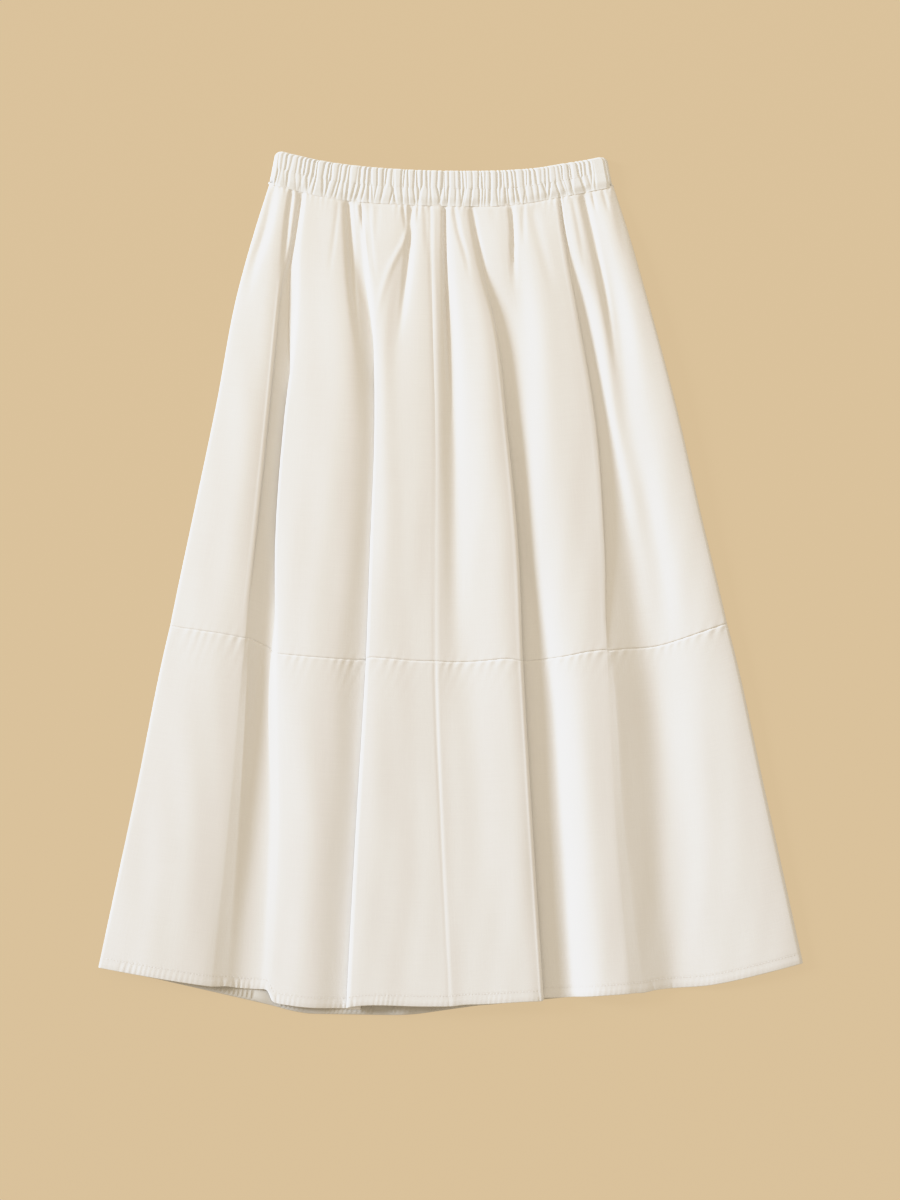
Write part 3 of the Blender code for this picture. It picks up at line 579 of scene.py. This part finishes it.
def pucker_waves(across, distance, puckers):
    """Small waves that run away from a row of sewing, between -1 and 1. Slower waves make them uneven."""
    start = puckers.start
    phase = 2.0 * math.pi * (across + puckers.lean * distance) / puckers.spacing
    for times, (length, shift) in enumerate(PUCKER_SHIFTS, start=1):
        phase = phase + shift * np.sin(across / length + times * start)
    slow, quick = PUCKER_SWELLS
    swell = np.sin(across / slow + 3.0 * start) * np.sin(across / quick + start)
    return np.sin(phase) * (PUCKER_STRENGTH + PUCKER_CHANGE * swell)


def seam_relief(sheet, cloth):
    """The dip and the puckers along the seam between the tiers."""
    below = sheet.down - sheet.seam
    dip = -SEAM_DIP.depth * cloth.seam_dip / MM * bump(below - SEAM_DIP.below, SEAM_DIP.width)
    reach = np.where(below > 0.0, SEAM_PUCKERS.reach, ABOVE_SEAM_REACH)
    height = np.where(below > 0.0, SEAM_PUCKERS.height, ABOVE_SEAM_HEIGHT)
    waves = pucker_waves(sheet.across, below, SEAM_PUCKERS)
    fade = np.exp(-np.abs(below) / reach)
    return dip + cloth.pucker / MM * height * waves * fade


def waist_relief(sheet, cloth):
    """The small gathers where the cloth comes out from under the waistband."""
    below = sheet.down - sheet.waist
    waves = WAIST_PUCKERS.height * pucker_waves(sheet.across, below, WAIST_PUCKERS)
    puckers = cloth.pucker / MM * waves * np.exp(-np.abs(below) / WAIST_PUCKERS.reach)
    return puckers - WAIST_DIP.depth * bump(below, WAIST_DIP.width)


def hem_relief(sheet, cloth):
    """The stitching's dip and the puckers of the turned hem."""
    above = sheet.hem - sheet.down
    depth = cloth.hem_depth / MM
    dip = -HEM_DIP.depth * cloth.seam_dip / MM * bump(above - depth, HEM_DIP.width)
    waves = HEM_PUCKERS.height * pucker_waves(sheet.across, above, HEM_PUCKERS)
    return dip + cloth.pucker / MM * waves * bump(above - depth * HEM_MIDDLE, depth * HEM_PUCKERS.reach)


def ripple_relief(sheet, cloth):
    """Soft, long unevenness of folded and worn cotton: waves whose divisors are their lengths."""
    across, down = sheet.across, sheet.down
    waves = (np.sin(across / 5.2 + 1.4 * np.sin(down / 61.0)) * np.sin(down / 83.0 + across / 41.0)
             + np.sin(across / 8.6 - down / 47.0 + 2.0) * np.sin(down / 57.0 + 1.0)
             + 0.8 * np.sin(across / 13.0 + down / 90.0 + 4.0) * np.sin(down / 35.0 - across / 60.0))
    return cloth.ripple / MM * 0.45 * waves


def edge_relief(sheet, cloth):
    """The rolled edges of the laps that open to the right, and the centre seam's sewn edge."""
    relief = np.zeros_like(sheet.across)
    stops = np.clip(sheet.stops, STOPS[0], STOPS[-1])
    for row in FRONT:
        beside = sheet.across - along(STOPS, row.across, stops)[:, None]
        if isinstance(row, Lap) and row.opens == "right":
            present = smooth_step((along(STOPS, row.tuck, stops) - ROLL_FROM) / ROLL_GROWS)[:, None]
            relief += cloth.edge_roll / MM * present * bump(beside + ROLL_INSIDE, ROLL_WIDTH)
        if row.name == CENTRE_SEAM:
            strength = cloth.edge_roll / MM * along(STOPS, SEAM_EDGE, stops)[:, None]
            step = smooth_step(beside / SEAM_STEP_WIDTH + 0.5)
            step = step * np.exp(-np.maximum(beside, 0) / SEAM_STEP_FADE)
            relief += SEAM_STEP * strength * step * (np.abs(beside) < SEAM_NEAR)
            relief -= SEAM_GROOVE * strength * bump(beside + SEAM_GROOVE_PLACE, SEAM_GROOVE_WIDTH)
    return relief


def sheet_points(sheet, rise):
    """The sheet's points in metres, rows by columns by three."""
    return np.stack([sheet.across * MM, (HALF_LENGTH - sheet.down) * MM, rise * MM], axis=2)


def surface_normals(points):
    """The upward unit normals of a grid of points whose rows run down the skirt."""
    normals = np.cross(np.gradient(points, axis=1), -np.gradient(points, axis=0))
    return normals / np.maximum(np.linalg.norm(normals, axis=2, keepdims=True), 1e-12)


def cloth_lengths(points):
    """How far along the cloth each point is, across and down from its first corner, in metres."""
    widths = np.linalg.norm(np.diff(points, axis=1), axis=2).max(axis=0)
    lengths = np.linalg.norm(np.diff(points, axis=0), axis=2).mean(axis=1)
    across = np.concatenate([[0.0], np.cumsum(widths)])
    down = np.concatenate([[0.0], np.cumsum(lengths)])
    return np.meshgrid(across, down)


# Meshes


def grid_piece(name, points):
    """A sheet of faces shaped to rows and columns of points, with its UV map in metres along the cloth."""
    rows, columns = points.shape[:2]
    bpy.ops.object.select_all(action="DESELECT")
    bpy.ops.mesh.primitive_grid_add(x_subdivisions=columns - 1, y_subdivisions=rows - 1, size=1.0)
    piece = bpy.context.object
    piece.name = name
    mesh = piece.data
    mesh.name = name
    places = np.empty(len(mesh.vertices) * 3)
    mesh.vertices.foreach_get("co", places)
    places = places.reshape(-1, 3)
    column = np.rint((places[:, 0] + 0.5) * (columns - 1)).astype(int)
    row = np.rint((0.5 - places[:, 1]) * (rows - 1)).astype(int)
    mesh.vertices.foreach_set("co", points[row, column].ravel())
    across, down = cloth_lengths(points)
    corners = np.empty(len(mesh.loops), dtype=int)
    mesh.loops.foreach_get("vertex_index", corners)
    along_cloth = np.stack([across[row, column], down[row, column]], axis=1)
    mesh.uv_layers.active.data.foreach_set("uv", along_cloth[corners].ravel())
    mesh.update()
    return piece


def cloth_piece(node_name, points, material, slot, wall, offset=0.0):
    """A sheet with its thickness, shading and material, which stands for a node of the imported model."""
    piece = grid_piece(f"{node_name}_cloth", points)
    solidify = piece.modifiers.new("wall", "SOLIDIFY")
    solidify.thickness = wall
    solidify.offset = offset
    solidify.use_even_offset = False
    bpy.ops.object.modifier_apply(modifier=solidify.name)
    places = np.empty(len(piece.data.vertices) * 3)
    piece.data.vertices.foreach_get("co", places)
    places[2::3] = np.maximum(places[2::3], 0.0)
    piece.data.vertices.foreach_set("co", places)
    bpy.ops.object.shade_smooth_by_angle(angle=SMOOTH_ANGLE)
    piece.data.materials.append(material)
    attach(piece, "root")
    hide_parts(node_name)
    return piece


def rows_between(start, end, count, length, fine_ends):
    """Stops from start to end, with more of them beside the fine ends. length is how far one stop runs."""
    rows = list(np.linspace(start, end, count + 1))
    for place in fine_ends:
        inward = 1.0 if place < (start + end) / 2.0 else -1.0
        rows += [place + inward * offset / length for offset in FINE_ROWS]
    return np.unique(np.round(np.clip(rows, start, end), 6))


def front_surface(places, stops):
    """The front cloth's points, with all its relief."""
    cloth = bpy.context.scene.skirt_cloth
    sheet = sheet_at(front_points, places, stops)
    rise = (sheet.rise + crease_relief(sheet) + seam_relief(sheet, cloth) + waist_relief(sheet, cloth)
            + hem_relief(sheet, cloth) + ripple_relief(sheet, cloth) + edge_relief(sheet, cloth))
    return sheet_points(sheet, rise)


def back_surface(places, stops):
    """The back cloth's points. It lies flat, so its relief only rises."""
    cloth = bpy.context.scene.skirt_cloth
    sheet = sheet_at(back_points, places, stops)
    above = sheet.hem - sheet.down
    depth = cloth.hem_depth / MM
    waves = BACK_HEM_PUCKERS.height * (1.0 + pucker_waves(sheet.across, above, BACK_HEM_PUCKERS))
    from_sides = np.minimum(sheet.across - sheet.across[:, :1], sheet.across[:, -1:] - sheet.across)
    puckers = cloth.pucker / MM * waves * smooth_step(from_sides / SIDE_FOOT - 0.5)
    rise = sheet.rise + puckers * bump(above - depth / 2.0, depth * BACK_HEM_PUCKERS.reach)
    return sheet_points(sheet, rise)


def turned_hem(surface, places, stops, side):
    """A tier's points down to its hem, then round the hem's edge and back up inside it."""
    cloth = bpy.context.scene.skirt_cloth
    thickness, depth = cloth.thickness, cloth.hem_depth
    face = surface(places, stops)
    span = np.linalg.norm(face[-1] - face[0], axis=1).mean() / (stops[-1] - stops[0])
    radius = HEM_RADIUS * thickness
    turns = []
    for share in HEM_TURN:
        turned = math.pi * share
        turns.append((2.0 + radius / span * (math.sin(turned) - 1.0), radius * (1.0 - math.cos(turned))))
    turns += [(2.0 - (radius + depth * share) / span, 2.0 * radius) for share in HEM_ALLOWANCE]
    face_end = 2.0 - radius / span
    keep = stops < face_end - 0.001
    face_stops = np.append(stops[keep], face_end)
    points = surface(places, face_stops)
    back_stops = np.array([stop for stop, _ in turns])
    inside = surface(places, back_stops)
    normals = surface_normals(surface(places, np.linspace(1.97, 2.0, 4)))[1]
    offsets = np.array([offset for _, offset in turns])[:, None, None]
    return np.concatenate([points, inside + side * offsets * normals[None]], axis=0)


# Materials


def feed(tree, made, inputs):
    """Sets a node's inputs by name or number, or links them where the value is another node's output."""
    for key, value in inputs.items():
        if hasattr(value, "node"):
            tree.links.new(value, made.inputs[key])
        else:
            made.inputs[key].default_value = value


def node(tree, kind, inputs, **settings):
    """Adds a shader node, sets its properties and feeds its inputs."""
    made = tree.nodes.new("ShaderNode" + kind)
    for key, value in settings.items():
        setattr(made, key, value)
    feed(tree, made, inputs)
    return made


def maths(tree, operation, first, second=0.0):
    return node(tree, "Math", {0: first, 1: second}, operation=operation).outputs[0]


def new_group(name, inputs, outputs):
    """An empty shader node group with float sockets, and its input and output nodes."""
    group = bpy.data.node_groups.new(name, "ShaderNodeTree")
    for socket, kind in inputs:
        group.interface.new_socket(name=socket, in_out="INPUT", socket_type=kind)
    for socket in outputs:
        group.interface.new_socket(name=socket, in_out="OUTPUT", socket_type="NodeSocketFloat")
    return group, group.nodes.new("NodeGroupInput"), group.nodes.new("NodeGroupOutput")


def weave_group():
    """Plain weave of uneven yarns: its height, and the tone of its thicker and thinner yarns."""
    if "plain_weave" in bpy.data.node_groups:
        return bpy.data.node_groups["plain_weave"]
    group, start, end = new_group(
        "plain_weave", (("Cloth", "NodeSocketVector"), ("Spacing", "NodeSocketFloat")), ("Height", "Tone"))
    parts = node(group, "SeparateXYZ", {0: start.outputs["Cloth"]})
    turns = maths(group, "DIVIDE", math.pi, start.outputs["Spacing"])
    across = maths(group, "SINE", maths(group, "MULTIPLY", parts.outputs[0], turns))
    down = maths(group, "SINE", maths(group, "MULTIPLY", parts.outputs[1], turns))
    over = maths(group, "MULTIPLY", across, down)
    tones = []
    for stretch in ((SLUB_WIDTHS, SLUB_LENGTHS, 1.0), (SLUB_LENGTHS, SLUB_WIDTHS, 1.0)):
        stretched = node(group, "VectorMath", {0: start.outputs["Cloth"], 1: stretch}, operation="MULTIPLY")
        slub = node(group, "TexNoise", {"Vector": stretched.outputs[0], "Scale": 1.0, "Detail": 1.0})
        tones.append(slub.outputs[0])
    tone = maths(group, "ADD", tones[0], tones[1])
    height = maths(group, "ADD", maths(group, "MULTIPLY", over, WEAVE_SHARE), tone)
    feed(group, end, {"Height": height, "Tone": maths(group, "SUBTRACT", tone, 1.0)})
    return group


def cloud_group():
    """Soft cloudy unevenness in a cloth's colour, from about -0.5 to 0.5."""
    if "soft_clouds" in bpy.data.node_groups:
        return bpy.data.node_groups["soft_clouds"]
    group, start, end = new_group(
        "soft_clouds", (("Place", "NodeSocketVector"), ("Scale", "NodeSocketFloat")), ("Tone",))
    cloud = node(group, "TexNoise", {
        "Vector": start.outputs["Place"], "Scale": start.outputs["Scale"], "Detail": 2.0})
    group.links.new(maths(group, "SUBTRACT", cloud.outputs[0], 0.5), end.inputs["Tone"])
    return group


def new_material(name, roughness, specular):
    """A material, its node tree, and its shader with the two values set."""
    material = bpy.data.materials.new(name)
    material.use_nodes = True
    tree = material.node_tree
    shader = tree.nodes["Principled BSDF"]
    feed(tree, shader, {"Roughness": roughness, "Specular IOR Level": specular})
    return material, tree, shader


def clouds(tree, scale, depth):
    """A tone that is cloudy over a piece, from minus half its depth to half."""
    place = node(tree, "TexCoord", {}).outputs["Object"]
    cloud = tree.nodes.new("ShaderNodeGroup")
    cloud.node_tree = cloud_group()
    feed(tree, cloud, {"Place": place, "Scale": scale})
    return maths(tree, "MULTIPLY", cloud.outputs["Tone"], depth)


def shade_colour(tree, shader, colour, tone):
    """Gives the shader its colour, made brighter or darker by the tone."""
    bright = maths(tree, "ADD", tone, 1.0)
    shade = node(tree, "VectorMath", {0: tuple(colour), "Scale": bright}, operation="SCALE")
    feed(tree, shader, {"Base Color": shade.outputs[0]})


def cotton_material(name, colour, tone_depth):
    """Matte woven cotton: yarns that rise and shade, cloudy colour, and a faint sheen."""
    material, tree, shader = new_material(name, COTTON_ROUGHNESS, 0.25)
    weave = tree.nodes.new("ShaderNodeGroup")
    weave.node_tree = weave_group()
    spacing = bpy.context.scene.skirt_finish.yarn
    feed(tree, weave, {"Cloth": node(tree, "UVMap", {}).outputs[0], "Spacing": spacing})
    yarns = weave.outputs["Tone"]
    cloudy = clouds(tree, CLOTH_CLOUDS, 0.5 * tone_depth)
    shade_colour(tree, shader, colour, maths(tree, "ADD", maths(tree, "MULTIPLY", yarns, tone_depth), cloudy))
    rough = maths(tree, "ADD", maths(tree, "MULTIPLY", yarns, YARN_ROUGHNESS), COTTON_ROUGHNESS)
    relief = node(tree, "Bump", {"Strength": 0.5, "Distance": YARN_HEIGHT, "Height": weave.outputs["Height"]})
    feed(tree, shader, {
        "Roughness": rough, "Normal": relief.outputs[0], "Sheen Weight": 0.08, "Sheen Roughness": 0.5})
    return material


def thread_material():
    """Smooth cotton thread, a little brighter than the cloth, with cloudy unevenness."""
    material, tree, shader = new_material("sewing_thread", 0.6, 0.3)
    cloudy = clouds(tree, THREAD_CLOUDS, THREAD_TONE)
    shade_colour(tree, shader, bpy.context.scene.skirt_finish.thread, cloudy)
    return material


def floor_material(stage):
    """A plain floor whose brightness is mostly its own, so that the skirt's shadow on it stays faint."""
    material, tree, shader = new_material("studio_floor", 0.9, 0.0)
    lit = [(1.0 - stage.floor_glow) * part for part in stage.floor]
    feed(tree, shader, {
        "Base Color": (*lit, 1.0),
        "Emission Color": (*stage.floor, 1.0),
        "Emission Strength": stage.floor_glow})
    return material


# Pieces


def stitching_stop():
    """The stop at which the hem's stitching lies."""
    return 2.0 - bpy.context.scene.skirt_cloth.hem_depth / MM / LOWER_LENGTH


class SKIRT_OT_front_panels(Operator):
    """Build the four front panels of cotton with their folds, creases and seams"""

    bl_idname = "skirt.front_panels"
    bl_label = "Front Panels"

    def execute(self, context):
        cloth = context.scene.skirt_cloth
        material = cotton_material("cotton_front", context.scene.skirt_finish.cloth, CLOTH_TONE)
        finish = material, "cotton_cloth", cloth.thickness
        upper_places, lower_places = [fine_places(front_points, width / MM)
                                      for width in (cloth.column_width, cloth.hem_column_width)]
        upper = rows_between(TOP_STOP, 1.0, UPPER_ROWS, UPPER_LENGTH, (TOP_STOP, 1.0))
        lower = rows_between(1.0, 2.0, LOWER_ROWS, LOWER_LENGTH, (1.0, stitching_stop()))
        seam = centre_seam_place()
        for side, is_here in (("left", np.less_equal), ("right", np.greater_equal)):
            points = front_surface(upper_places[is_here(upper_places, seam)], upper)
            piece = cloth_piece(f"front_upper_{side}", points, *finish)
            points = turned_hem(front_surface, lower_places[is_here(lower_places, seam)], lower, -1.0)
            piece = cloth_piece(f"front_lower_{side}", points, *finish)
        return {"FINISHED"}


class SKIRT_OT_back_panels(Operator):
    """Build the two back panels, which lie flat under the front, in a colour darkened with painted shade"""

    bl_idname = "skirt.back_panels"
    bl_label = "Back Panels"

    def execute(self, context):
        cloth = context.scene.skirt_cloth
        # The back's colour is painted shade: darker than the front's cotton, for the shadow it lies in under
        # the front
        material = cotton_material("cotton_back_shaded", context.scene.skirt_finish.inside, CLOTH_TONE)
        finish = material, "cotton_cloth_back", cloth.thickness
        upper = rows_between(TOP_STOP, 1.0, UPPER_ROWS // 3, UPPER_LENGTH, ())
        points = back_surface(fine_places(back_points, 3.0 * cloth.column_width / MM), upper)
        piece = cloth_piece("back_upper", points, *finish)
        lower = rows_between(1.0, 2.0, LOWER_ROWS // 2, LOWER_LENGTH, (2.0,))
        points = turned_hem(back_surface, fine_places(back_points, cloth.hem_column_width / MM), lower, 1.0)
        piece = cloth_piece("back_lower", points, *finish)
        return {"FINISHED"}


def scatter(index, seed):
    """An uneven number from -1 to 1 for each index, the same on each run."""
    return 2.0 * np.mod(np.sin(index * 12.9898 + seed * 78.233) * 43758.5453, 1.0) - 1.0


def band_gathers(across, share, left, right, settings):
    """How deep the valleys between the gathers are at each point, from 0 on a gather's crown to about 1."""
    deep = np.zeros_like(across)
    upper = smooth_step((0.5 - share) / JOG_SHARE + 0.5)
    for index in range(1, settings.gathers):
        place = index + settings.drift * scatter(index, 1.0)
        path = left + (right - left) * place / settings.gathers
        above = UPPER_LEAN * scatter(index, 2.0) * (1.0 - 2.0 * np.minimum(share, 0.5))
        path = path + settings.lean / MM * above
        path = path + settings.lean / MM * scatter(index, 3.0) * (2.0 * np.maximum(share, 0.5) - 1.0)
        path = path + settings.jog / MM * scatter(index, 4.0) * (1.0 - upper)
        strength = upper * (UPPER_DEPTH + (1.0 - UPPER_DEPTH) * scatter(index, 5.0))
        strength = strength + (1.0 - upper) * (LOWER_DEPTH + (1.0 - LOWER_DEPTH) * scatter(index, 6.0))
        width = settings.valley / MM * (1.0 + WIDTH_CHANGE * scatter(index, 7.0))
        deep = np.maximum(deep, strength * bump(across - path, width))
    return deep


def panel_height(across):
    """How high the front cloth lies where it comes out from under the waistband."""
    section = front_points(np.array([0.0]))[0]
    ends = section[len(SIDE_TURNS), 0], section[-1 - len(SIDE_TURNS), 0]
    return np.interp(np.clip(across, *ends), section[:, 0], section[:, 1])


def band_points(band, on_panel):
    """The gathered face of half the waistband, as rows and columns of points in metres."""
    settings = bpy.context.scene.skirt_band
    columns = settings.gathers * GATHER_COLUMNS
    share = np.linspace(0.0, 1.0, BAND_ROWS + 1)[:, None]
    share = share - ROWS_CROWD * np.sin(2.0 * math.pi * share) / (2.0 * math.pi)
    corner = BAND_CORNER * rounding(share / CORNER_SHARE)
    (left_top, _), (right_top, _) = BAND_TOP[0], BAND_TOP[-1]
    (left_bottom, _), (right_bottom, _) = BAND_BOTTOM[0], BAND_BOTTOM[-1]
    left = left_top + (left_bottom - left_top) * share + corner
    right = right_top + (right_bottom - right_top) * share - corner
    across = left + (right - left) * np.linspace(0.0, 1.0, columns + 1)[None, :]
    deep = band_gathers(across, share, left, right, settings)
    from_right = right - across
    groove = np.zeros_like(across)
    if on_panel:
        deep = deep * smooth_step((from_right - PLAIN_END) / GATHERS_FADE)
        groove = END_GROOVE * bump(from_right - END_GROOVE_PLACE, END_GROOVE_WIDTH)
    deep = deep * smooth_step((across - left) / GATHERS_FADE)
    waves = np.sin(across / PINCH_WAVES[0]) * np.sin(across / PINCH_WAVES[1])
    pinch = settings.pinch / MM * bump(share - 0.5, PINCH_SHARE)
    pinch = pinch * (PINCH_STRENGTH + (1.0 - PINCH_STRENGTH) * waves)
    rise = band.base + band.body + band.gather * (1.0 - deep) - pinch
    top, bottom = edge_drop(BAND_TOP, across), edge_drop(BAND_BOTTOM, across)
    down = top + (bottom - top) * share
    near_edge = (1.0 - 2.0 * share) * bump(np.minimum(share, 1.0 - share), SCALLOP_SHARE)
    down = down + settings.scallop / MM * deep * near_edge
    rim = np.minimum(down - top, np.minimum(across - left, from_right))
    rise = rise - BAND_RIM * rounding(rim / BAND_RIM) - groove
    if on_panel:
        foot = panel_height(across) + settings.step / MM - FOOT_VALLEY * deep
    else:
        foot = np.full_like(across, band.base + band.body)
    sink = smooth_step((share - SINK_FROM) / (1.0 - SINK_FROM))
    rise = rise + (np.minimum(foot, rise) - rise) * sink
    if on_panel:
        inward = np.minimum(across - left, from_right) / END_ROLL
        rise = END_RISE + (rise - END_RISE) * (1.0 - rounding(inward))
    return np.stack([across * MM, (HALF_LENGTH - down) * MM, rise * MM], axis=2)


class SKIRT_OT_waistbands(Operator):
    """Build the gathered casing of the waist, front and back"""

    bl_idname = "skirt.waistbands"
    bl_label = "Waistbands"

    def execute(self, context):
        material = cotton_material("cotton_casing", context.scene.skirt_finish.casing, CASING_TONE)
        for side, band in (("front", FRONT_BAND), ("back", BACK_BAND)):
            points = band_points(band, on_panel=side == "front")
            finish = material, "gathered_casing", BAND_WALL * MM, -1.0
            piece = cloth_piece(f"waistband_{side}", points, *finish)
        return {"FINISHED"}


def one_stitch(stitch):
    """A short, round-ended length of thread along X, lying on Z = 0."""
    bpy.ops.object.select_all(action="DESELECT")
    bpy.ops.mesh.primitive_uv_sphere_add(segments=THREAD_SIDES, ring_count=THREAD_RINGS, radius=0.5)
    made = bpy.context.object
    bpy.ops.object.mode_set(mode="EDIT")
    bpy.ops.mesh.select_all(action="SELECT")
    bpy.ops.transform.rotate(value=math.pi / 2.0, orient_axis="Y", center_override=(0.0, 0.0, 0.0))
    bpy.ops.transform.resize(value=(stitch.length, stitch.thread, stitch.thread))
    bpy.ops.object.mode_set(mode="OBJECT")
    bpy.ops.object.shade_smooth()
    return made


def stitch_row(name, rows, lift, material):
    """Stitches along the middle one of some rows of points on a cloth's face, lifted off them."""
    stitch = bpy.context.scene.skirt_stitch
    middle = len(rows) // 2
    path = rows[middle]
    upward = surface_normals(rows)[middle]
    run = np.concatenate([[0.0], np.cumsum(np.linalg.norm(np.diff(path, axis=0), axis=1))])
    model = one_stitch(stitch)
    copies = []

    def at(place, values):
        """The values, one for each of the row's points, at a length along the row."""
        return Vector([np.interp(place, run, values[:, part]) for part in range(3)])

    for centre in np.arange(STITCHES_FROM, run[-1] - STITCHES_FROM, stitch.pitch):
        start, end = at(centre - stitch.length / 2.0, path), at(centre + stitch.length / 2.0, path)
        normal = at(centre, upward).normalized()
        forward = (end - start).normalized()
        sideways = normal.cross(forward).normalized()
        place = (start + end) / 2.0 + normal * lift
        turn = Matrix((forward, sideways, forward.cross(sideways))).transposed().to_4x4()
        copy = bpy.data.objects.new(name, model.data.copy())
        copy.data.transform(Matrix.Translation(place) @ turn)
        bpy.context.collection.objects.link(copy)
        copies.append(copy)
    bpy.data.objects.remove(model)
    bpy.ops.object.select_all(action="DESELECT")
    for copy in copies:
        copy.select_set(True)
    bpy.context.view_layer.objects.active = copies[0]
    bpy.ops.object.join()
    piece = bpy.context.object
    piece.name = name
    piece.data.name = name
    piece.data.materials.clear()
    piece.data.materials.append(material)
    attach(piece, "root")


class SKIRT_OT_stitching(Operator):
    """Sew the rows of stitches along both hems and the middle of the waistband"""

    bl_idname = "skirt.stitching"
    bl_label = "Stitching"

    def execute(self, context):
        cloth = context.scene.skirt_cloth
        material = thread_material()
        lift = (cloth.thickness + 0.5 * context.scene.skirt_stitch.thread) / 2.0
        stops = stitching_stop() + np.array([-STITCH_ROW_STEP, 0.0, STITCH_ROW_STEP])
        for name, surface, steer in (("front_hem_stitches", front_surface, front_points),
                                     ("back_hem_stitches", back_surface, back_points)):
            stitch_row(name, surface(fine_places(steer, 1.0), stops), lift, material)
        band = band_points(FRONT_BAND, True)
        middle = len(band) // 2
        sewn = slice(SEWN_FROM, -SEWN_FROM)
        stitch_row("waistband_stitches", band[middle - 1:middle + 2, sewn], BAND_LIFT, material)
        return {"FINISHED"}


def add_light(kind, name, place, turn, strength, colour):
    """A soft light, turned from straight down."""
    bpy.ops.object.light_add(type=kind, location=place)
    light = bpy.context.object
    light.name = name
    light.rotation_euler = turn
    light.data.energy = strength
    light.data.color = colour
    return light


class SKIRT_OT_stage(Operator):
    """Build the floor, the lights and the camera"""

    bl_idname = "skirt.stage"
    bl_label = "Stage"

    def execute(self, context):
        stage = context.scene.skirt_stage
        bpy.ops.object.select_all(action="DESELECT")
        bpy.ops.mesh.primitive_plane_add(size=stage.floor_size, location=(0.0, 0.0, FLOOR_HEIGHT))
        floor = context.object
        floor.name = "studio_floor"
        bpy.ops.object.transform_apply(location=True)
        floor.data.materials.append(floor_material(stage))

        turn = (0.0, math.pi / 2.0 - stage.key_elevation, stage.key_azimuth)
        key = add_light("SUN", "key_light", (0.0, 0.0, 3.0), turn, stage.key_strength, stage.key_colour)
        key.data.angle = stage.key_softness
        turn = (-math.atan2(TOP_LIGHT_PLACE[1], TOP_LIGHT_PLACE[2]), 0.0, 0.0)
        top = add_light("AREA", "top_light", TOP_LIGHT_PLACE, turn, stage.top_power, stage.fill_colour)
        top.data.size = stage.top_size
        top.visible_camera = False

        world = bpy.data.worlds.new("studio_light")
        world.use_nodes = True
        tree = world.node_tree
        fill = {"Color": (*stage.fill_colour, 1.0), "Strength": stage.fill_strength}
        feed(tree, tree.nodes["Background"], fill)
        context.scene.world = world

        view = context.scene.view_settings
        view.view_transform = "Standard"
        view.use_curve_mapping = True
        curve = view.curve_mapping.curves[3]
        view.curve_mapping.clip_max_x = BRIGHTEST[0]
        curve.points[1].location = BRIGHTEST
        for bright, shown in HIGHLIGHT_CURVE:
            curve.points.new(bright, shown)
        view.curve_mapping.update()

        bpy.ops.object.camera_add(location=(*CAMERA_OVER, stage.view_height), rotation=(0.0, 0.0, 0.0))
        camera = context.object
        camera.name = "photo_camera"
        camera.data.lens = camera.data.sensor_width * stage.view_height / stage.view_span
        context.scene.camera = camera
        return {"FINISHED"}


PIECE_OPERATORS = (SKIRT_OT_stage, SKIRT_OT_back_panels, SKIRT_OT_front_panels, SKIRT_OT_waistbands,
                   SKIRT_OT_stitching)


class SKIRT_PT_panel(Panel):
    """Sidebar list of the skirt's builders"""

    bl_idname = "SKIRT_PT_panel"
    bl_label = "Gathered Midi Skirt"
    bl_space_type = "VIEW_3D"
    bl_region_type = "UI"
    bl_category = "Skirt"

    def draw(self, context):
        for operator in PIECE_OPERATORS:
            self.layout.operator(operator.bl_idname)


SETTINGS = (
    ("skirt_cloth", SkirtClothSettings),
    ("skirt_band", SkirtBandSettings),
    ("skirt_stitch", SkirtStitchSettings),
    ("skirt_finish", SkirtFinishSettings),
    ("skirt_stage", SkirtStageSettings),
)


def register():
    for name, settings in SETTINGS:
        bpy.utils.register_class(settings)
        setattr(bpy.types.Scene, name, PointerProperty(type=settings))
    for operator in PIECE_OPERATORS:
        bpy.utils.register_class(operator)
    bpy.utils.register_class(SKIRT_PT_panel)


def unregister():
    bpy.utils.unregister_class(SKIRT_PT_panel)
    for operator in reversed(PIECE_OPERATORS):
        bpy.utils.unregister_class(operator)
    for name, settings in reversed(SETTINGS):
        delattr(bpy.types.Scene, name)
        bpy.utils.unregister_class(settings)


def main():
    register()
    bpy.ops.skirt.stage()
    bpy.ops.skirt.back_panels()
    bpy.ops.skirt.front_panels()
    bpy.ops.skirt.waistbands()
    bpy.ops.skirt.stitching()


if __name__ == "__main__":
    main()
